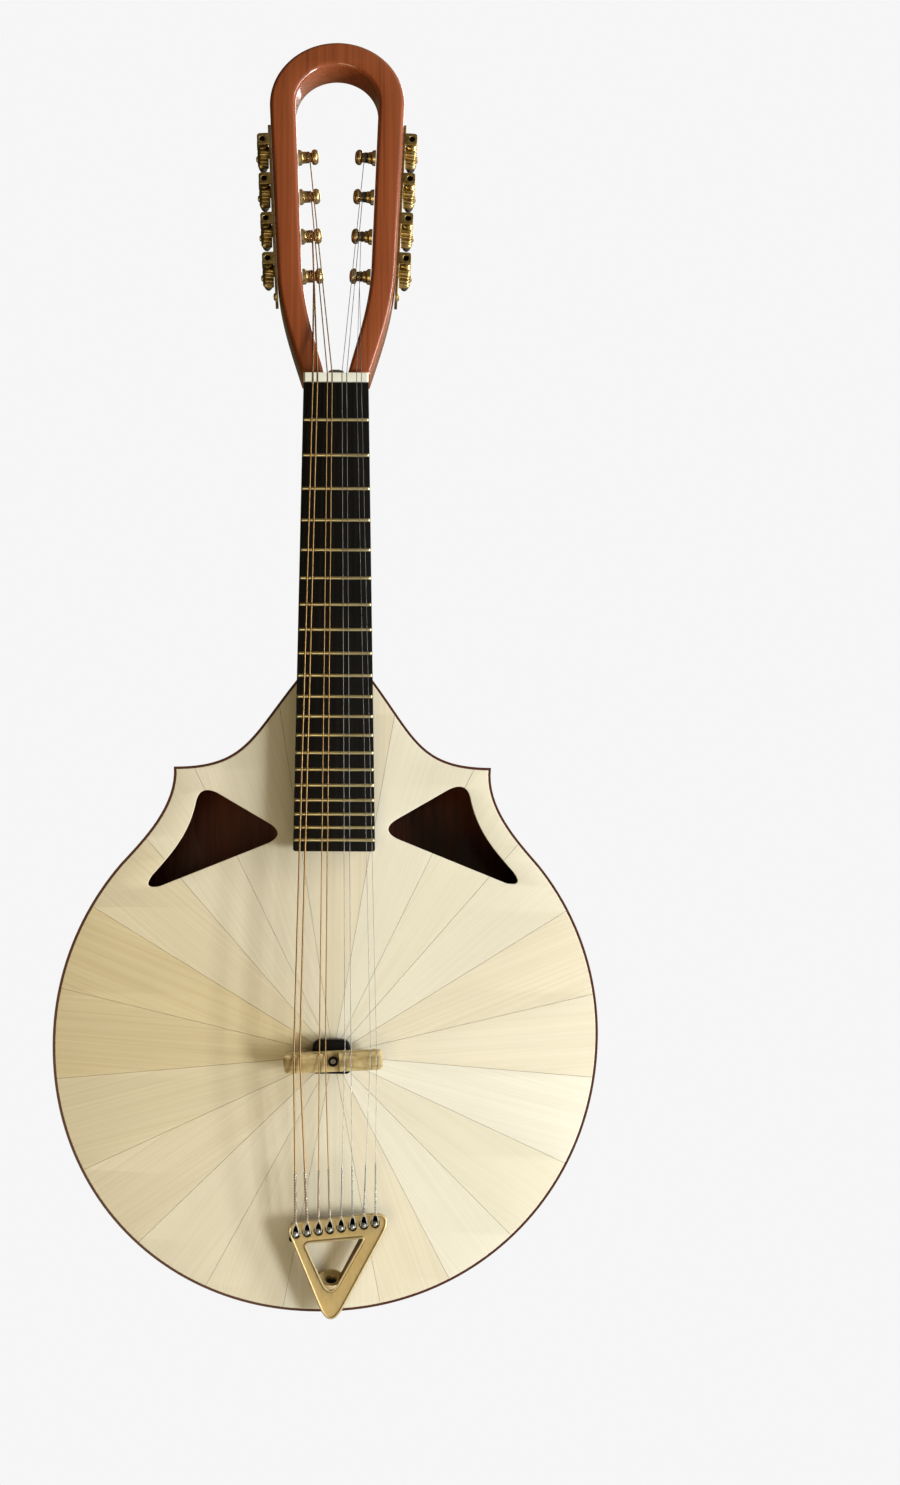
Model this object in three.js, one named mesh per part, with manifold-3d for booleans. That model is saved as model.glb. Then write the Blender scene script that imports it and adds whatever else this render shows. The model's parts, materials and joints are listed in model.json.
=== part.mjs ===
// A flat-backed eight-string mandolin whose head is an open loop, standing upright with its face towards -Y.
// Millimetres, +Z from the body to the head. The origin is on the centreline, in the plane of the
// soundboard's face, level with the edge of the nut that the strings are played from.

import * as THREE from "three";
import { mergeVertices } from "three/addons/utils/BufferGeometryUtils.js";
import Module from "manifold-3d";

const wasm = await Module();
wasm.setup();

// ---------- Driving dimensions ----------

const scaleLength = 356;
const glueLine = 0.3;
const throughAll = 60;
const degrees = THREE.MathUtils.degToRad;
const at = (x, y) => new THREE.Vector2(x, y);

const body = {
  radius: 146.5,
  centreZ: -350.9,
  lowerSquareness: 2.06,
  topZ: -157.5,
  lean: 0.022,
  leftHoleOffset: at(-1.2, -2.4),
  topHalfWidth: 20,
  shoulder: at(85.3, -204.8),
  waistAngle: degrees(39.8),
  plate: 3,
  depth: 52,
  rim: 2.5,
};
const insideFront = body.plate;
const insideBack = body.depth - body.plate;

const lining = { height: 6, thickness: 5, startHalfWidth: 36 };
const blocks = { neckHalfWidth: 26, neckShoulderZ: -176, neckEndZ: -196, tailHalfWidth: 22, tailTopZ: -474 };
const braceSize = { width: 8, height: 12, endHeight: 3, taper: 30 };

const board = {
  nutHalfWidth: 17.35,
  endHalfWidth: 21.9,
  length: 250,
  face: -12,
  underside: -6,
  cornerRadius: 1.6,
  frets: 20,
};
const fret = { height: 1, baseHalfWidth: 1.1, topHalfWidth: 0.7, seat: 0.1 };
const nut = { thickness: 4.8, top: -14.6 };

const neck = { backAtNut: 9, backAtHeel: 11, heelStartZ: -118, heelBack: 50, endZ: -157.2 };
const trussRod = { radius: 2.5, nutRadius: 4.2, y: -1.5, endZ: -148, clearance: 0.3 };

const head = {
  tilt: degrees(15),
  faceY: -7,
  baseZ: 5.2,
  thickness: 21.5,
  edge: 2,
  archY: 161.6,
  outerRadius: 37.1,
  innerRadius: 22.8,
  outerLean: degrees(2.86),
  innerLean: degrees(2.3),
  bendY: 62,
};

const tuner = {
  pitch: 23.8,
  perSide: 4,
  middleY: 96.8,
  teeth: 14,
  gearMeanRadius: 4.95,
  wormMeanRadius: 2.65,
  toothHalfHeight: 0.45,
  centreDistance: 8,
  gearWidth: 5.3,
  plate: 1.3,
  plateWidth: 16,
  plateLow: -52,
  plateHigh: 54,
  gearOffset: 3.4,
};
const ear = { width: 7, height: 6.3, thickness: 1.6, frontZ: -2.8, backZ: -18.7, sunk: 0.7 };
const wormShaft = { radius: 1.4, front: 8.2, back: -13.6, holeRadius: 1.7 };
const post = {
  radius: 3,
  reach: 11.8,
  flangeRadius: 4.3,
  flangeWidth: 1.3,
  collarRadius: 3.9,
  windingReach: 6.5,
  windingRadius: 2.6,
};

const strings = [
  { name: "g1", radius: 0.48, side: -1, post: 0 },
  { name: "g2", radius: 0.48, side: -1, post: 1 },
  { name: "d1", radius: 0.33, side: -1, post: 2 },
  { name: "d2", radius: 0.33, side: -1, post: 3 },
  { name: "a1", radius: 0.19, side: 1, post: 3 },
  { name: "a2", radius: 0.19, side: 1, post: 2 },
  { name: "e1", radius: 0.14, side: 1, post: 1 },
  { name: "e2", radius: 0.14, side: 1, post: 0 },
];
const nutSpacing = { course: 7.8, pair: 2.5, offset: 0.5, y: -14 };
const bridgeSpacing = { course: 13.6, pair: 3.2, offset: 1.1 };

const bridge = {
  centreX: -0.9,
  centreZ: -359.7,
  width: 20.4,
  length: 18.4,
  top: -9,
  saddleZ: -361.8,
  saddleLength: 52.8,
  saddleWidth: 11,
  saddleUnderside: -9.3,
  ridgeTop: -16.9,
  ridgeFromCentre: 4.5,
  lowEdgeTop: -14,
  skew: degrees(2.8),
  headSideRadius: 5,
  cornerRadius: 2.5,
  ridgeChamfer: 1,
  pocketHalfWidth: 3.2,
  pocketFloor: -13.2,
};
const screw = { radius: 1.5, headRadius: 2.7, headHeight: 2.2, endY: -2 };
const bolt = { headRadius: 4.2, headHeight: 2.6, crownRadius: 2.6, crownStart: 1.6, radius: 2, length: 21 };

const tailpiece = {
  corners: [at(-25.7, -448.3), at(-1.15, -507.3), at(33.9, -441.5)],
  cornerRadii: [6, 7.6, 7.5],
  opening: [at(-15.2, -458.1), at(18.7, -454.9), at(-1.4, -491)],
  openingRadii: [2.5, 1.8, 6.4],
  front: -10.5,
  back: -8,
  firstPin: at(-18.9, -454.9),
  lastPin: at(23.4, -449),
  pinRadius: 1.5,
  pinTop: -13.2,
  stringY: -11.9,
};
const boltSeat = {
  centre: new THREE.Vector3(-0.5, -7.5, -477.5),
  tilt: degrees(30),
  radius: 7.4,
  recessRadius: 4.6,
  recessDepth: 3,
  holeRadius: 2.3,
};

// ---------- Finishes ----------

const finish = (color, roughness, metalness = 0) =>
  new THREE.MeshStandardMaterial({ color, roughness, metalness });
const finishes = {
  spruce: finish(0xe3d8b6, 0.5),
  mahogany: finish(0x8a4423, 0.35),
  darkMahogany: finish(0x4a1a0c, 0.5),
  ebony: finish(0x17130f, 0.4),
  bone: finish(0xdcdcc8, 0.4),
  maple: finish(0xbda977, 0.5),
  brass: finish(0x8f7a45, 0.35, 1),
  tailpieceBrass: finish(0xb09a5c, 0.45, 1),
  steel: finish(0xb8b8b8, 0.3, 1),
  bronze: finish(0xb98a52, 0.35, 1),
  blackSteel: finish(0x101010, 0.4, 1),
  darkKnob: finish(0x1a1612, 0.35),
};

// ---------- Solids: closing, joining and cutting ----------

function solid(geometry) {
  const bare = geometry.clone();
  bare.deleteAttribute("normal");
  bare.deleteAttribute("uv");
  const merged = mergeVertices(bare, 1e-4);
  return new wasm.Manifold(
    new wasm.Mesh({
      numProp: 3,
      vertProperties: merged.attributes.position.array,
      triVerts: new Uint32Array(merged.index.array),
    }),
  );
}

function geometryOf(made) {
  const mesh = made.getMesh();
  const geometry = new THREE.BufferGeometry();
  geometry.setAttribute("position", new THREE.BufferAttribute(mesh.vertProperties, 3));
  geometry.setIndex(new THREE.BufferAttribute(mesh.triVerts, 1));
  geometry.computeVertexNormals();
  return geometry;
}

function join(first, ...rest) {
  return geometryOf(rest.reduce((sum, piece) => sum.add(solid(piece)), solid(first)));
}

function cut(first, ...tools) {
  return geometryOf(tools.reduce((left, tool) => left.subtract(solid(tool)), solid(first)));
}

function common(first, second) {
  return geometryOf(solid(first).intersect(solid(second)));
}

// A skin over rings of equal numbers of points, closed by a fan at each end.
function loft(rings) {
  const sides = rings[0].length;
  const points = rings.flat();
  const faces = [];
  for (let ring = 0; ring + 1 < rings.length; ring++) {
    for (let side = 0; side < sides; side++) {
      const a = ring * sides + side;
      const b = ring * sides + ((side + 1) % sides);
      faces.push(a, b, b + sides, a, b + sides, a + sides);
    }
  }
  for (const [ring, outward] of [[0, false], [rings.length - 1, true]]) {
    const centre = new THREE.Vector3();
    rings[ring].forEach((point) => centre.addScaledVector(point, 1 / sides));
    const hub = points.push(centre) - 1;
    for (let side = 0; side < sides; side++) {
      const a = ring * sides + side;
      const b = ring * sides + ((side + 1) % sides);
      faces.push(...(outward ? [a, b, hub] : [b, a, hub]));
    }
  }
  if (signedVolume(points, faces) < 0) faces.reverse();
  const geometry = new THREE.BufferGeometry().setFromPoints(points);
  geometry.setIndex(faces);
  geometry.computeVertexNormals();
  return geometry;
}

function signedVolume(points, faces) {
  let volume = 0;
  for (let i = 0; i < faces.length; i += 3) {
    const [a, b, c] = [points[faces[i]], points[faces[i + 1]], points[faces[i + 2]]];
    volume += a.dot(b.clone().cross(c)) / 6;
  }
  return volume;
}

// A shape drawn in x and z, as thick as from yFront to yBack.
function slab(shape, yFront, yBack, curveSegments = 5) {
  const depth = yBack - yFront;
  const geometry = new THREE.ExtrudeGeometry(shape, { depth, bevelEnabled: false, curveSegments });
  return geometry.rotateX(Math.PI / 2).translate(0, yBack, 0);
}

// A shape drawn in x and y, standing from z to z + depth.
function prism(shape, z, depth) {
  return new THREE.ExtrudeGeometry(shape, { depth, bevelEnabled: false }).translate(0, 0, z);
}

// A rod along an axis vector, centred on a point.
function rod(radius, length, centre, axis, sides = 12) {
  const turn = new THREE.Quaternion().setFromUnitVectors(new THREE.Vector3(0, 1, 0), axis);
  return new THREE.CylinderGeometry(radius, radius, length, sides)
    .applyQuaternion(turn)
    .translate(centre.x, centre.y, centre.z);
}

const alongX = new THREE.Vector3(1, 0, 0);
const alongY = new THREE.Vector3(0, 1, 0);
const alongZ = new THREE.Vector3(0, 0, 1);

// A polygon whose corners are rounded to the radii given.
function roundedPolygon(corners, radii, makeInto = new THREE.Shape()) {
  const count = corners.length;
  corners.forEach((corner, i) => {
    const before = corners[(i + count - 1) % count].clone().sub(corner).normalize();
    const after = corners[(i + 1) % count].clone().sub(corner).normalize();
    const reach = radii[i] / Math.tan(Math.acos(before.dot(after)) / 2);
    const start = corner.clone().addScaledVector(before, reach);
    const end = corner.clone().addScaledVector(after, reach);
    if (i === 0) makeInto.moveTo(start.x, start.y);
    else makeInto.lineTo(start.x, start.y);
    makeInto.quadraticCurveTo(corner.x, corner.y, end.x, end.y);
  });
  makeInto.closePath();
  return makeInto;
}

function rectangle(left, right, low, high) {
  return new THREE.Shape([at(left, low), at(right, low), at(right, high), at(left, high)]);
}

const model = new THREE.Group();

function addPiece(name, geometry, material, parent = model) {
  const mesh = new THREE.Mesh(geometry, material);
  mesh.name = name;
  parent.add(mesh);
  return mesh;
}

// ---------- Body ----------

// The lower bout is a little squarer than a circle.
function boutPoint(angle) {
  const [cos, sin] = [Math.cos(angle), Math.sin(angle)];
  const power = body.lowerSquareness;
  const square = angle < 0 ? (Math.abs(cos) ** power + Math.abs(sin) ** power) ** (-1 / power) : 1;
  return at(body.radius * square * cos, body.centreZ + body.radius * square * sin);
}

// The right half of the body's outline, in x and z, from the neck joint round to the bottom.
function halfOutline() {
  const { shoulder, waistAngle } = body;
  const boutSteps = 26;
  const top = at(body.topHalfWidth, body.topZ);
  const waist = boutPoint(waistAngle);
  const upper = new THREE.CubicBezierCurve(top, at(44.6, -189.3), at(47, -204.8), shoulder);
  const lower = new THREE.CubicBezierCurve(shoulder, at(83.2, -226), at(100.7, -244), waist);
  const points = [...upper.getPoints(10), ...lower.getPoints(6).slice(1)];
  for (let step = 1; step <= boutSteps; step++) {
    points.push(boutPoint(THREE.MathUtils.lerp(waistAngle, -Math.PI / 2, step / boutSteps)));
  }
  points.at(-1).x = 0;
  return points;
}

const half = halfOutline();
const mirrored = (points) => points.map((point) => at(-point.x, point.y));

// The body is set a little askew: it drifts to the left of the strings' line towards its bottom.
const drift = (z) => body.lean * (z - body.topZ);
const askew = (points) => points.map((point) => at(point.x + drift(point.y), point.y));

// The outline's line moved inwards by a distance, with mitred corners.
function inset(points, distance) {
  const heading = (i) => points[i + 1].clone().sub(points[i]).normalize();
  const moved = points.map((point, i) => {
    const before = heading(Math.max(i - 1, 0));
    const after = heading(Math.min(i, points.length - 2));
    const inward = at(before.y + after.y, -before.x - after.x).normalize();
    const mitre = inward.dot(at(before.y, -before.x));
    return point.clone().addScaledVector(inward, distance / mitre);
  });
  if (points.at(-1).x === 0) moved.at(-1).x = 0;
  return moved;
}

const bodyShape = () => new THREE.Shape(askew([...mirrored(half.slice(0, -1)), ...half.toReversed()]));

// One three-cornered sound hole: two straight edges, and an outer edge that follows the waist.
// The left hole is cut a little further out and lower than the right one.
function soundHole(side) {
  const offset = side > 0 ? at(0, 0) : body.leftHoleOffset;
  const spot = (x, z) => [side * x + offset.x, z + offset.y];
  const hole = new THREE.Path();
  hole.moveTo(...spot(33.4, -232.9));
  hole.lineTo(...spot(61.5, -216.6));
  hole.quadraticCurveTo(...spot(70.6, -212.2), ...spot(72.9, -220.3));
  hole.bezierCurveTo(...spot(76.5, -238), ...spot(84.5, -247.5), ...spot(96.2, -260.6));
  hole.quadraticCurveTo(...spot(102.6, -268.9), ...spot(92.4, -266.8));
  hole.lineTo(...spot(33.8, -243.2));
  hole.quadraticCurveTo(...spot(24.6, -238.4), ...spot(33.4, -232.9));
  return hole;
}

const seatAxis = new THREE.Vector3(0, Math.cos(boltSeat.tilt), -Math.sin(boltSeat.tilt));
const boltHole = () => rod(boltSeat.holeRadius, throughAll, boltSeat.centre, seatAxis);

function soundboard() {
  const shape = bodyShape();
  shape.holes.push(soundHole(1), soundHole(-1));
  return cut(slab(shape, 0, body.plate), boltHole());
}

// A strip that follows one side of the body, between two distances in from the outline.
function sideStrip(side, points, outside, inside, yFront, yBack) {
  const outline = [...inset(points, outside), ...inset(points, inside).reverse()];
  return slab(new THREE.Shape(askew(side > 0 ? outline : mirrored(outline))), yFront, yBack);
}

const sides = [["left", -1], ["right", 1]];
const linedPart = half.filter((point) => point.x > lining.startHalfWidth);
const liningOutside = body.rim + glueLine;

addPiece("soundboard", soundboard(), finishes.spruce);
addPiece("back_plate", slab(bodyShape(), insideBack, body.depth), finishes.mahogany);
for (const [word, side] of sides) {
  const rim = sideStrip(side, half, 0, body.rim, insideFront, insideBack);
  addPiece(`rim_${word}`, rim, finishes.darkMahogany);
  const liningFrom = (yFront) => {
    const inside = liningOutside + lining.thickness;
    return sideStrip(side, linedPart, liningOutside, inside, yFront, yFront + lining.height);
  };
  addPiece(`lining_front_${word}`, liningFrom(insideFront), finishes.mahogany);
  addPiece(`lining_back_${word}`, liningFrom(insideBack - lining.height), finishes.mahogany);
}

function neckBlock() {
  const { neckHalfWidth, neckShoulderZ, neckEndZ } = blocks;
  const top = at(body.topHalfWidth - body.rim - 1, body.topZ);
  const right = [top, at(neckHalfWidth, neckShoulderZ), at(neckHalfWidth, neckEndZ)];
  return slab(new THREE.Shape([...right, ...mirrored(right).reverse()]), insideFront, insideBack);
}

function tailBlock() {
  const { tailHalfWidth, tailTopZ } = blocks;
  const radius = body.radius - body.rim - glueLine;
  const swing = Math.asin(tailHalfWidth / radius);
  const shape = new THREE.Shape();
  shape.moveTo(-tailHalfWidth, tailTopZ);
  shape.absarc(0, body.centreZ, radius, -Math.PI / 2 - swing, -Math.PI / 2 + swing, false);
  shape.lineTo(tailHalfWidth, tailTopZ);
  const inPlace = slab(shape, insideFront, insideBack).translate(drift(tailTopZ), 0, 0);
  return cut(inPlace, boltHole());
}

// A brace across the body, tapered towards its ends, glued to the face at gluedY.
function brace(z, halfLength, gluedY, towardsY) {
  const { width, height, endHeight, taper } = braceSize;
  const right = [
    at(halfLength, gluedY),
    at(halfLength, gluedY + endHeight * towardsY),
    at(halfLength - taper, gluedY + height * towardsY),
  ];
  const outline = new THREE.Shape([...right, ...mirrored(right).reverse()]);
  return prism(outline, z - width / 2, width).translate(drift(z), 0, 0);
}

addPiece("neck_block", neckBlock(), finishes.mahogany);
addPiece("tail_block", tailBlock(), finishes.mahogany);
addPiece("top_brace_upper", brace(-285, 116, insideFront, 1), finishes.spruce);
addPiece("top_brace_lower", brace(-430, 106, insideFront, 1), finishes.spruce);
addPiece("back_brace_upper", brace(-290, 121, insideBack, -1), finishes.spruce);
addPiece("back_brace_lower", brace(-410, 122, insideBack, -1), finishes.spruce);

// ---------- Neck, fretboard and nut ----------

function boardHalfWidth(z) {
  const along = -z / board.length;
  return board.nutHalfWidth + (board.endHalfWidth - board.nutHalfWidth) * along;
}

// How far back the neck reaches at a height: nearly level, then down the heel.
function neckBack(z) {
  const level = THREE.MathUtils.mapLinear(z, 0, neck.heelStartZ, neck.backAtNut, neck.backAtHeel);
  const down = THREE.MathUtils.smoothstep(-z, -neck.heelStartZ, -neck.endZ + 12);
  return level + (neck.heelBack - level) * Math.min(1, down * 1.12);
}

// The end that meets the head leans back with it.
const headJointZ = (y) => head.baseZ - glueLine - (y - head.faceY) * Math.tan(head.tilt);

function neckRing(z, leaning) {
  const around = 14;
  const ring = [];
  for (let i = 0; i <= around; i++) {
    const angle = (Math.PI * i) / around;
    const x = boardHalfWidth(Math.min(z, 0)) * Math.cos(angle);
    const y = board.underside + (neckBack(z) - board.underside) * Math.sin(angle);
    ring.push(new THREE.Vector3(x, y, leaning ? headJointZ(y) : z));
  }
  return ring;
}

function neckSolid() {
  const heights = [-12, -60, -118, -128, -136, -143, -149, -154, neck.endZ];
  const shaft = loft([neckRing(0, true), ...heights.map((z) => neckRing(z, false))]);
  const { radius, y, clearance } = trussRod;
  const room = radius + clearance;
  const channel = slab(rectangle(-room, room, trussRod.endZ - 1, 20), board.underside - 1, y + room);
  return cut(shaft, channel);
}

function boardRiser() {
  const inside = 2;
  const top = neck.endZ - glueLine;
  const bottom = -246;
  const right = [at(boardHalfWidth(top) - inside, top), at(boardHalfWidth(bottom) - inside, bottom)];
  return slab(new THREE.Shape([...right, ...mirrored(right).reverse()]), board.underside, 0);
}

const fretZ = (number) => -scaleLength * (1 - 2 ** (-number / 12));

function fretboard() {
  const corners = [
    at(board.nutHalfWidth, 0),
    at(board.endHalfWidth, -board.length),
    at(-board.endHalfWidth, -board.length),
    at(-board.nutHalfWidth, 0),
  ];
  const radii = [0.2, board.cornerRadius, board.cornerRadius, 0.2];
  const plank = slab(roundedPolygon(corners, radii), board.face, board.underside, 2);
  const bars = [];
  for (let number = 1; number <= board.frets; number++) {
    const z = fretZ(number);
    const halfWidth = boardHalfWidth(z) - 0.1;
    const section = new THREE.Shape([
      at(-fret.baseHalfWidth, fret.seat),
      at(-fret.topHalfWidth, -fret.height),
      at(fret.topHalfWidth, -fret.height),
      at(fret.baseHalfWidth, fret.seat),
    ]);
    const bar = new THREE.ExtrudeGeometry(section, { depth: 2 * halfWidth, bevelEnabled: false });
    bars.push(bar.rotateY(Math.PI / 2).translate(-halfWidth, board.face, z));
  }
  return join(plank, ...bars);
}

// Where each string crosses the nut or the bridge: four courses of two strings.
function stringX(index, spacing) {
  const course = Math.floor(index / 2);
  const half = index % 2 === 0 ? -spacing.pair / 2 : spacing.pair / 2;
  return (course - 1.5) * spacing.course + half + spacing.offset;
}

// The nut's front edge has a slot for each string.
function nutSolid() {
  const outline = [at(-board.nutHalfWidth, board.underside), at(-board.nutHalfWidth, nut.top)];
  strings.forEach((string, index) => {
    const x = stringX(index, nutSpacing);
    const room = string.radius + glueLine;
    const floor = nutSpacing.y + room;
    outline.push(at(x - room, nut.top), at(x - room, floor), at(x + room, floor), at(x + room, nut.top));
  });
  outline.push(at(board.nutHalfWidth, nut.top), at(board.nutHalfWidth, board.underside));
  return prism(new THREE.Shape(outline), 0, nut.thickness);
}

function trussRodSolid() {
  const { radius, nutRadius, y, endZ } = trussRod;
  const nutStart = head.baseZ;
  const nutEnd = nutStart + 2.8;
  const profile = [at(0, endZ), at(radius, endZ), at(radius, nutStart)];
  profile.push(at(nutRadius, nutStart), at(nutRadius, nutEnd), at(0, nutEnd));
  return new THREE.LatheGeometry(profile, 12).rotateX(Math.PI / 2).translate(0, y, 0);
}

addPiece("neck", neckSolid(), finishes.mahogany);
addPiece("board_riser", boardRiser(), finishes.mahogany);
addPiece("fretboard", fretboard(), finishes.ebony);
addPiece("nut", nutSolid(), finishes.bone);
addPiece("truss_rod", trussRodSolid(), finishes.steel);

// ---------- Head: a loop of wood, leaning back, with a row of tuners along each arm ----------

// In the head's own frame x is across, y runs up the head and z comes out of its face.
const headGroup = new THREE.Group();
headGroup.position.set(0, head.faceY, head.baseZ);
headGroup.rotation.x = Math.PI / 2 - head.tilt;
model.add(headGroup);

// How far an arm's edge is from the centreline, on its straight part.
function armEdge(radius, lean, y) {
  const tangentY = head.archY - radius * Math.sin(lean);
  return radius * Math.cos(lean) - (tangentY - y) * Math.tan(lean);
}
const armOuter = (y) => armEdge(head.outerRadius, head.outerLean, y);
const armInner = (y) => armEdge(head.innerRadius, head.innerLean, y);

function headLoop() {
  const { archY, bendY, outerRadius, innerRadius, outerLean, innerLean, edge, thickness } = head;
  const outline = new THREE.Shape();
  outline.moveTo(18.2, 0);
  outline.bezierCurveTo(24.4, 20, 31.1, 40, armOuter(bendY), bendY);
  outline.absarc(0, archY, outerRadius, -outerLean, Math.PI + outerLean, false);
  outline.lineTo(-armOuter(bendY), bendY);
  outline.bezierCurveTo(-31.1, 40, -24.4, 20, -18.2, 0);
  outline.lineTo(-6, 0);
  outline.bezierCurveTo(-10.2, 18, -17.5, 38, -armInner(bendY), bendY);
  outline.absarc(0, archY, innerRadius, Math.PI + innerLean, -innerLean, true);
  outline.lineTo(armInner(bendY), bendY);
  outline.bezierCurveTo(17.5, 38, 10.2, 18, 6, 0);
  outline.closePath();
  const loop = new THREE.ExtrudeGeometry(outline, {
    depth: thickness - 2 * edge,
    bevelThickness: edge,
    bevelSize: edge,
    bevelOffset: -edge,
    bevelSegments: 1,
    curveSegments: 14,
  });
  return loop.translate(0, 0, edge - thickness);
}

const postY = (index) => (index - (tuner.perSide - 1) / 2) * tuner.pitch;
const postZ = -head.thickness / 2;
const wormX = glueLine + tuner.plate + tuner.gearOffset;

const rows = sides.map(([word, side]) => {
  const row = new THREE.Group();
  row.position.set(side * armOuter(tuner.middleY), tuner.middleY, 0);
  row.rotation.z = -side * head.outerLean;
  headGroup.add(row);
  row.updateMatrix();
  return { word, side, row };
});

function postHoles() {
  return rows.flatMap(({ side, row }) => {
    const holes = [];
    for (let index = 0; index < tuner.perSide; index++) {
      const centre = new THREE.Vector3(-side * 8, postY(index), postZ);
      holes.push(rod(post.radius + 0.5, 30, centre, alongX).applyMatrix4(row.matrix));
    }
    return holes;
  });
}

addPiece("headstock_loop", cut(headLoop(), ...postHoles()), finishes.mahogany, headGroup);

// The side plate: a strip along the arm, with two ears to carry each worm.
function tunerPlate(side) {
  const { plate, plateWidth, plateLow, plateHigh } = tuner;
  const place = (x, y, z) => new THREE.Vector3(side * x, y, z);
  const box = (width, height, depth, centre) =>
    new THREE.BoxGeometry(width, height, depth).translate(centre.x, centre.y, centre.z);
  const stripCentre = place(glueLine + plate / 2, (plateLow + plateHigh) / 2, postZ);
  const strip = box(plate, plateHigh - plateLow, plateWidth, stripCentre);
  const earX = glueLine + plate - ear.sunk + ear.width / 2;
  const ears = [];
  const holes = [];
  for (let index = 0; index < tuner.perSide; index++) {
    const earY = postY(index) + tuner.centreDistance;
    for (const earZ of [ear.frontZ, ear.backZ]) {
      ears.push(box(ear.width, ear.height, ear.thickness, place(earX, earY, earZ)));
    }
    holes.push(rod(wormShaft.holeRadius, 30, place(wormX, earY, postZ), alongZ, 10));
    holes.push(rod(post.radius + glueLine, 4, place(1, postY(index), postZ), alongX));
  }
  return cut(join(strip, ...ears), ...holes);
}

// The thread's pitch is the gear's circular pitch, where the two pitch circles touch.
const gearPitchCircle = (tuner.centreDistance + tuner.gearMeanRadius - tuner.wormMeanRadius) / 2;
const threadPitch = (2 * Math.PI * gearPitchCircle) / tuner.teeth;

// The worm and its shaft, along z, centred on the gear's middle. Its thread is right-handed.
function worm() {
  const { wormMeanRadius, toothHalfHeight } = tuner;
  const { radius: shaftRadius, front, back } = wormShaft;
  const turns = 3;
  const threadHalf = (turns / 2) * threadPitch;
  const around = 8;
  const perTurn = 4;
  const ringAt = (z, radiusAt) =>
    Array.from({ length: around }, (_, i) => {
      const angle = (2 * Math.PI * i) / around;
      const radius = radiusAt(angle);
      return new THREE.Vector3(radius * Math.cos(angle), radius * Math.sin(angle), z);
    });
  const rings = [ringAt(front, () => shaftRadius), ringAt(threadHalf + 0.3, () => shaftRadius)];
  for (let step = turns * perTurn; step >= 0; step--) {
    const z = -threadHalf + (step * threadPitch) / perTurn;
    const thread = (angle) =>
      wormMeanRadius + toothHalfHeight * Math.cos(angle - (2 * Math.PI * z) / threadPitch);
    rings.push(ringAt(z, thread));
  }
  rings.push(ringAt(-threadHalf - 0.3, () => shaftRadius), ringAt(back, () => shaftRadius));
  return loft(rings);
}

// The gear, along x. A gap between its teeth faces the worm's thread, and its teeth slant to match it.
function gear() {
  const { teeth, gearMeanRadius, toothHalfHeight, wormMeanRadius, gearWidth } = tuner;
  const around = 3 * teeth;
  const slant = threadPitch / (2 * Math.PI * wormMeanRadius) / gearPitchCircle;
  const firstGap = -Math.PI / (2 * teeth);
  const ringAt = (x) =>
    Array.from({ length: around }, (_, i) => {
      const angle = (2 * Math.PI * i) / around;
      const radius = gearMeanRadius + toothHalfHeight * Math.cos(teeth * angle + Math.PI);
      const turned = angle + firstGap + x * slant;
      return new THREE.Vector3(x, radius * Math.cos(turned), radius * Math.sin(turned));
    });
  return loft([ringAt(-gearWidth / 2), ringAt(gearWidth / 2)]);
}

// A string post with its gear, about x. The gear's middle is at the origin, and the post's tip is inwards.
function roller(side, armThickness) {
  const { radius, reach, flangeRadius, flangeWidth, collarRadius, windingRadius } = post;
  const face = armThickness + glueLine;
  const tip = armThickness + reach;
  const outer = wormX + tuner.gearWidth / 2;
  const profile = [
    at(0, -tip),
    at(windingRadius, -tip + 0.4),
    at(collarRadius, -tip + 2),
    at(collarRadius, -tip + 3.4),
    at(windingRadius, -tip + 4),
    at(windingRadius, -face - flangeWidth - 0.5),
    at(flangeRadius, -face - flangeWidth),
    at(flangeRadius, -face),
    at(radius, -face),
    at(radius, outer + 0.3),
    at(1.6, outer + 1.1),
    at(0, outer + 1.1),
  ];
  const turned = new THREE.LatheGeometry(profile, 10).rotateZ((-side * Math.PI) / 2);
  return join(turned.translate(-side * wormX, 0, 0), gear());
}

// A flat oval button on the end of the worm's shaft.
function button() {
  const [start, neckEnd, widest, end, boreDepth] = [-10.1, -12, -17, -22.5, 4];
  const shape = new THREE.Shape();
  shape.moveTo(-2.4, start);
  shape.lineTo(-2.4, neckEnd);
  shape.bezierCurveTo(-5.5, neckEnd - 1, -6.9, widest + 3, -6.8, widest);
  shape.bezierCurveTo(-6.6, end + 1.5, -4, end, 0, end);
  shape.bezierCurveTo(4, end, 6.6, end + 1.5, 6.8, widest);
  shape.bezierCurveTo(6.9, widest + 3, 5.5, neckEnd - 1, 2.4, neckEnd);
  shape.lineTo(2.4, start);
  shape.closePath();
  const knob = slab(shape, -3.2, 3.2, 3).rotateZ(Math.PI / 2);
  const bore = rod(wormShaft.holeRadius, 2 * boreDepth, new THREE.Vector3(0, 0, start), alongZ, 10);
  return cut(knob, bore);
}

for (const { word, side, row } of rows) {
  addPiece(`tuner_plate_${word}`, tunerPlate(side), finishes.brass, row);
  for (let index = 0; index < tuner.perSide; index++) {
    const height = tuner.middleY + postY(index);
    const number = `${word}_${index + 1}`;
    const armThickness = armOuter(height) - armInner(height);
    const turning = addPiece(`roller_${number}`, roller(side, armThickness), finishes.brass, row);
    turning.position.set(side * wormX, postY(index), postZ);
    const shaft = addPiece(`worm_${number}`, worm(), finishes.brass, row);
    shaft.position.set(side * wormX, postY(index) + tuner.centreDistance, postZ);
    const knob = addPiece(`button_${number}`, button(), finishes.darkKnob, row);
    knob.position.copy(shaft.position);
  }
}

// ---------- Bridge ----------

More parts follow.
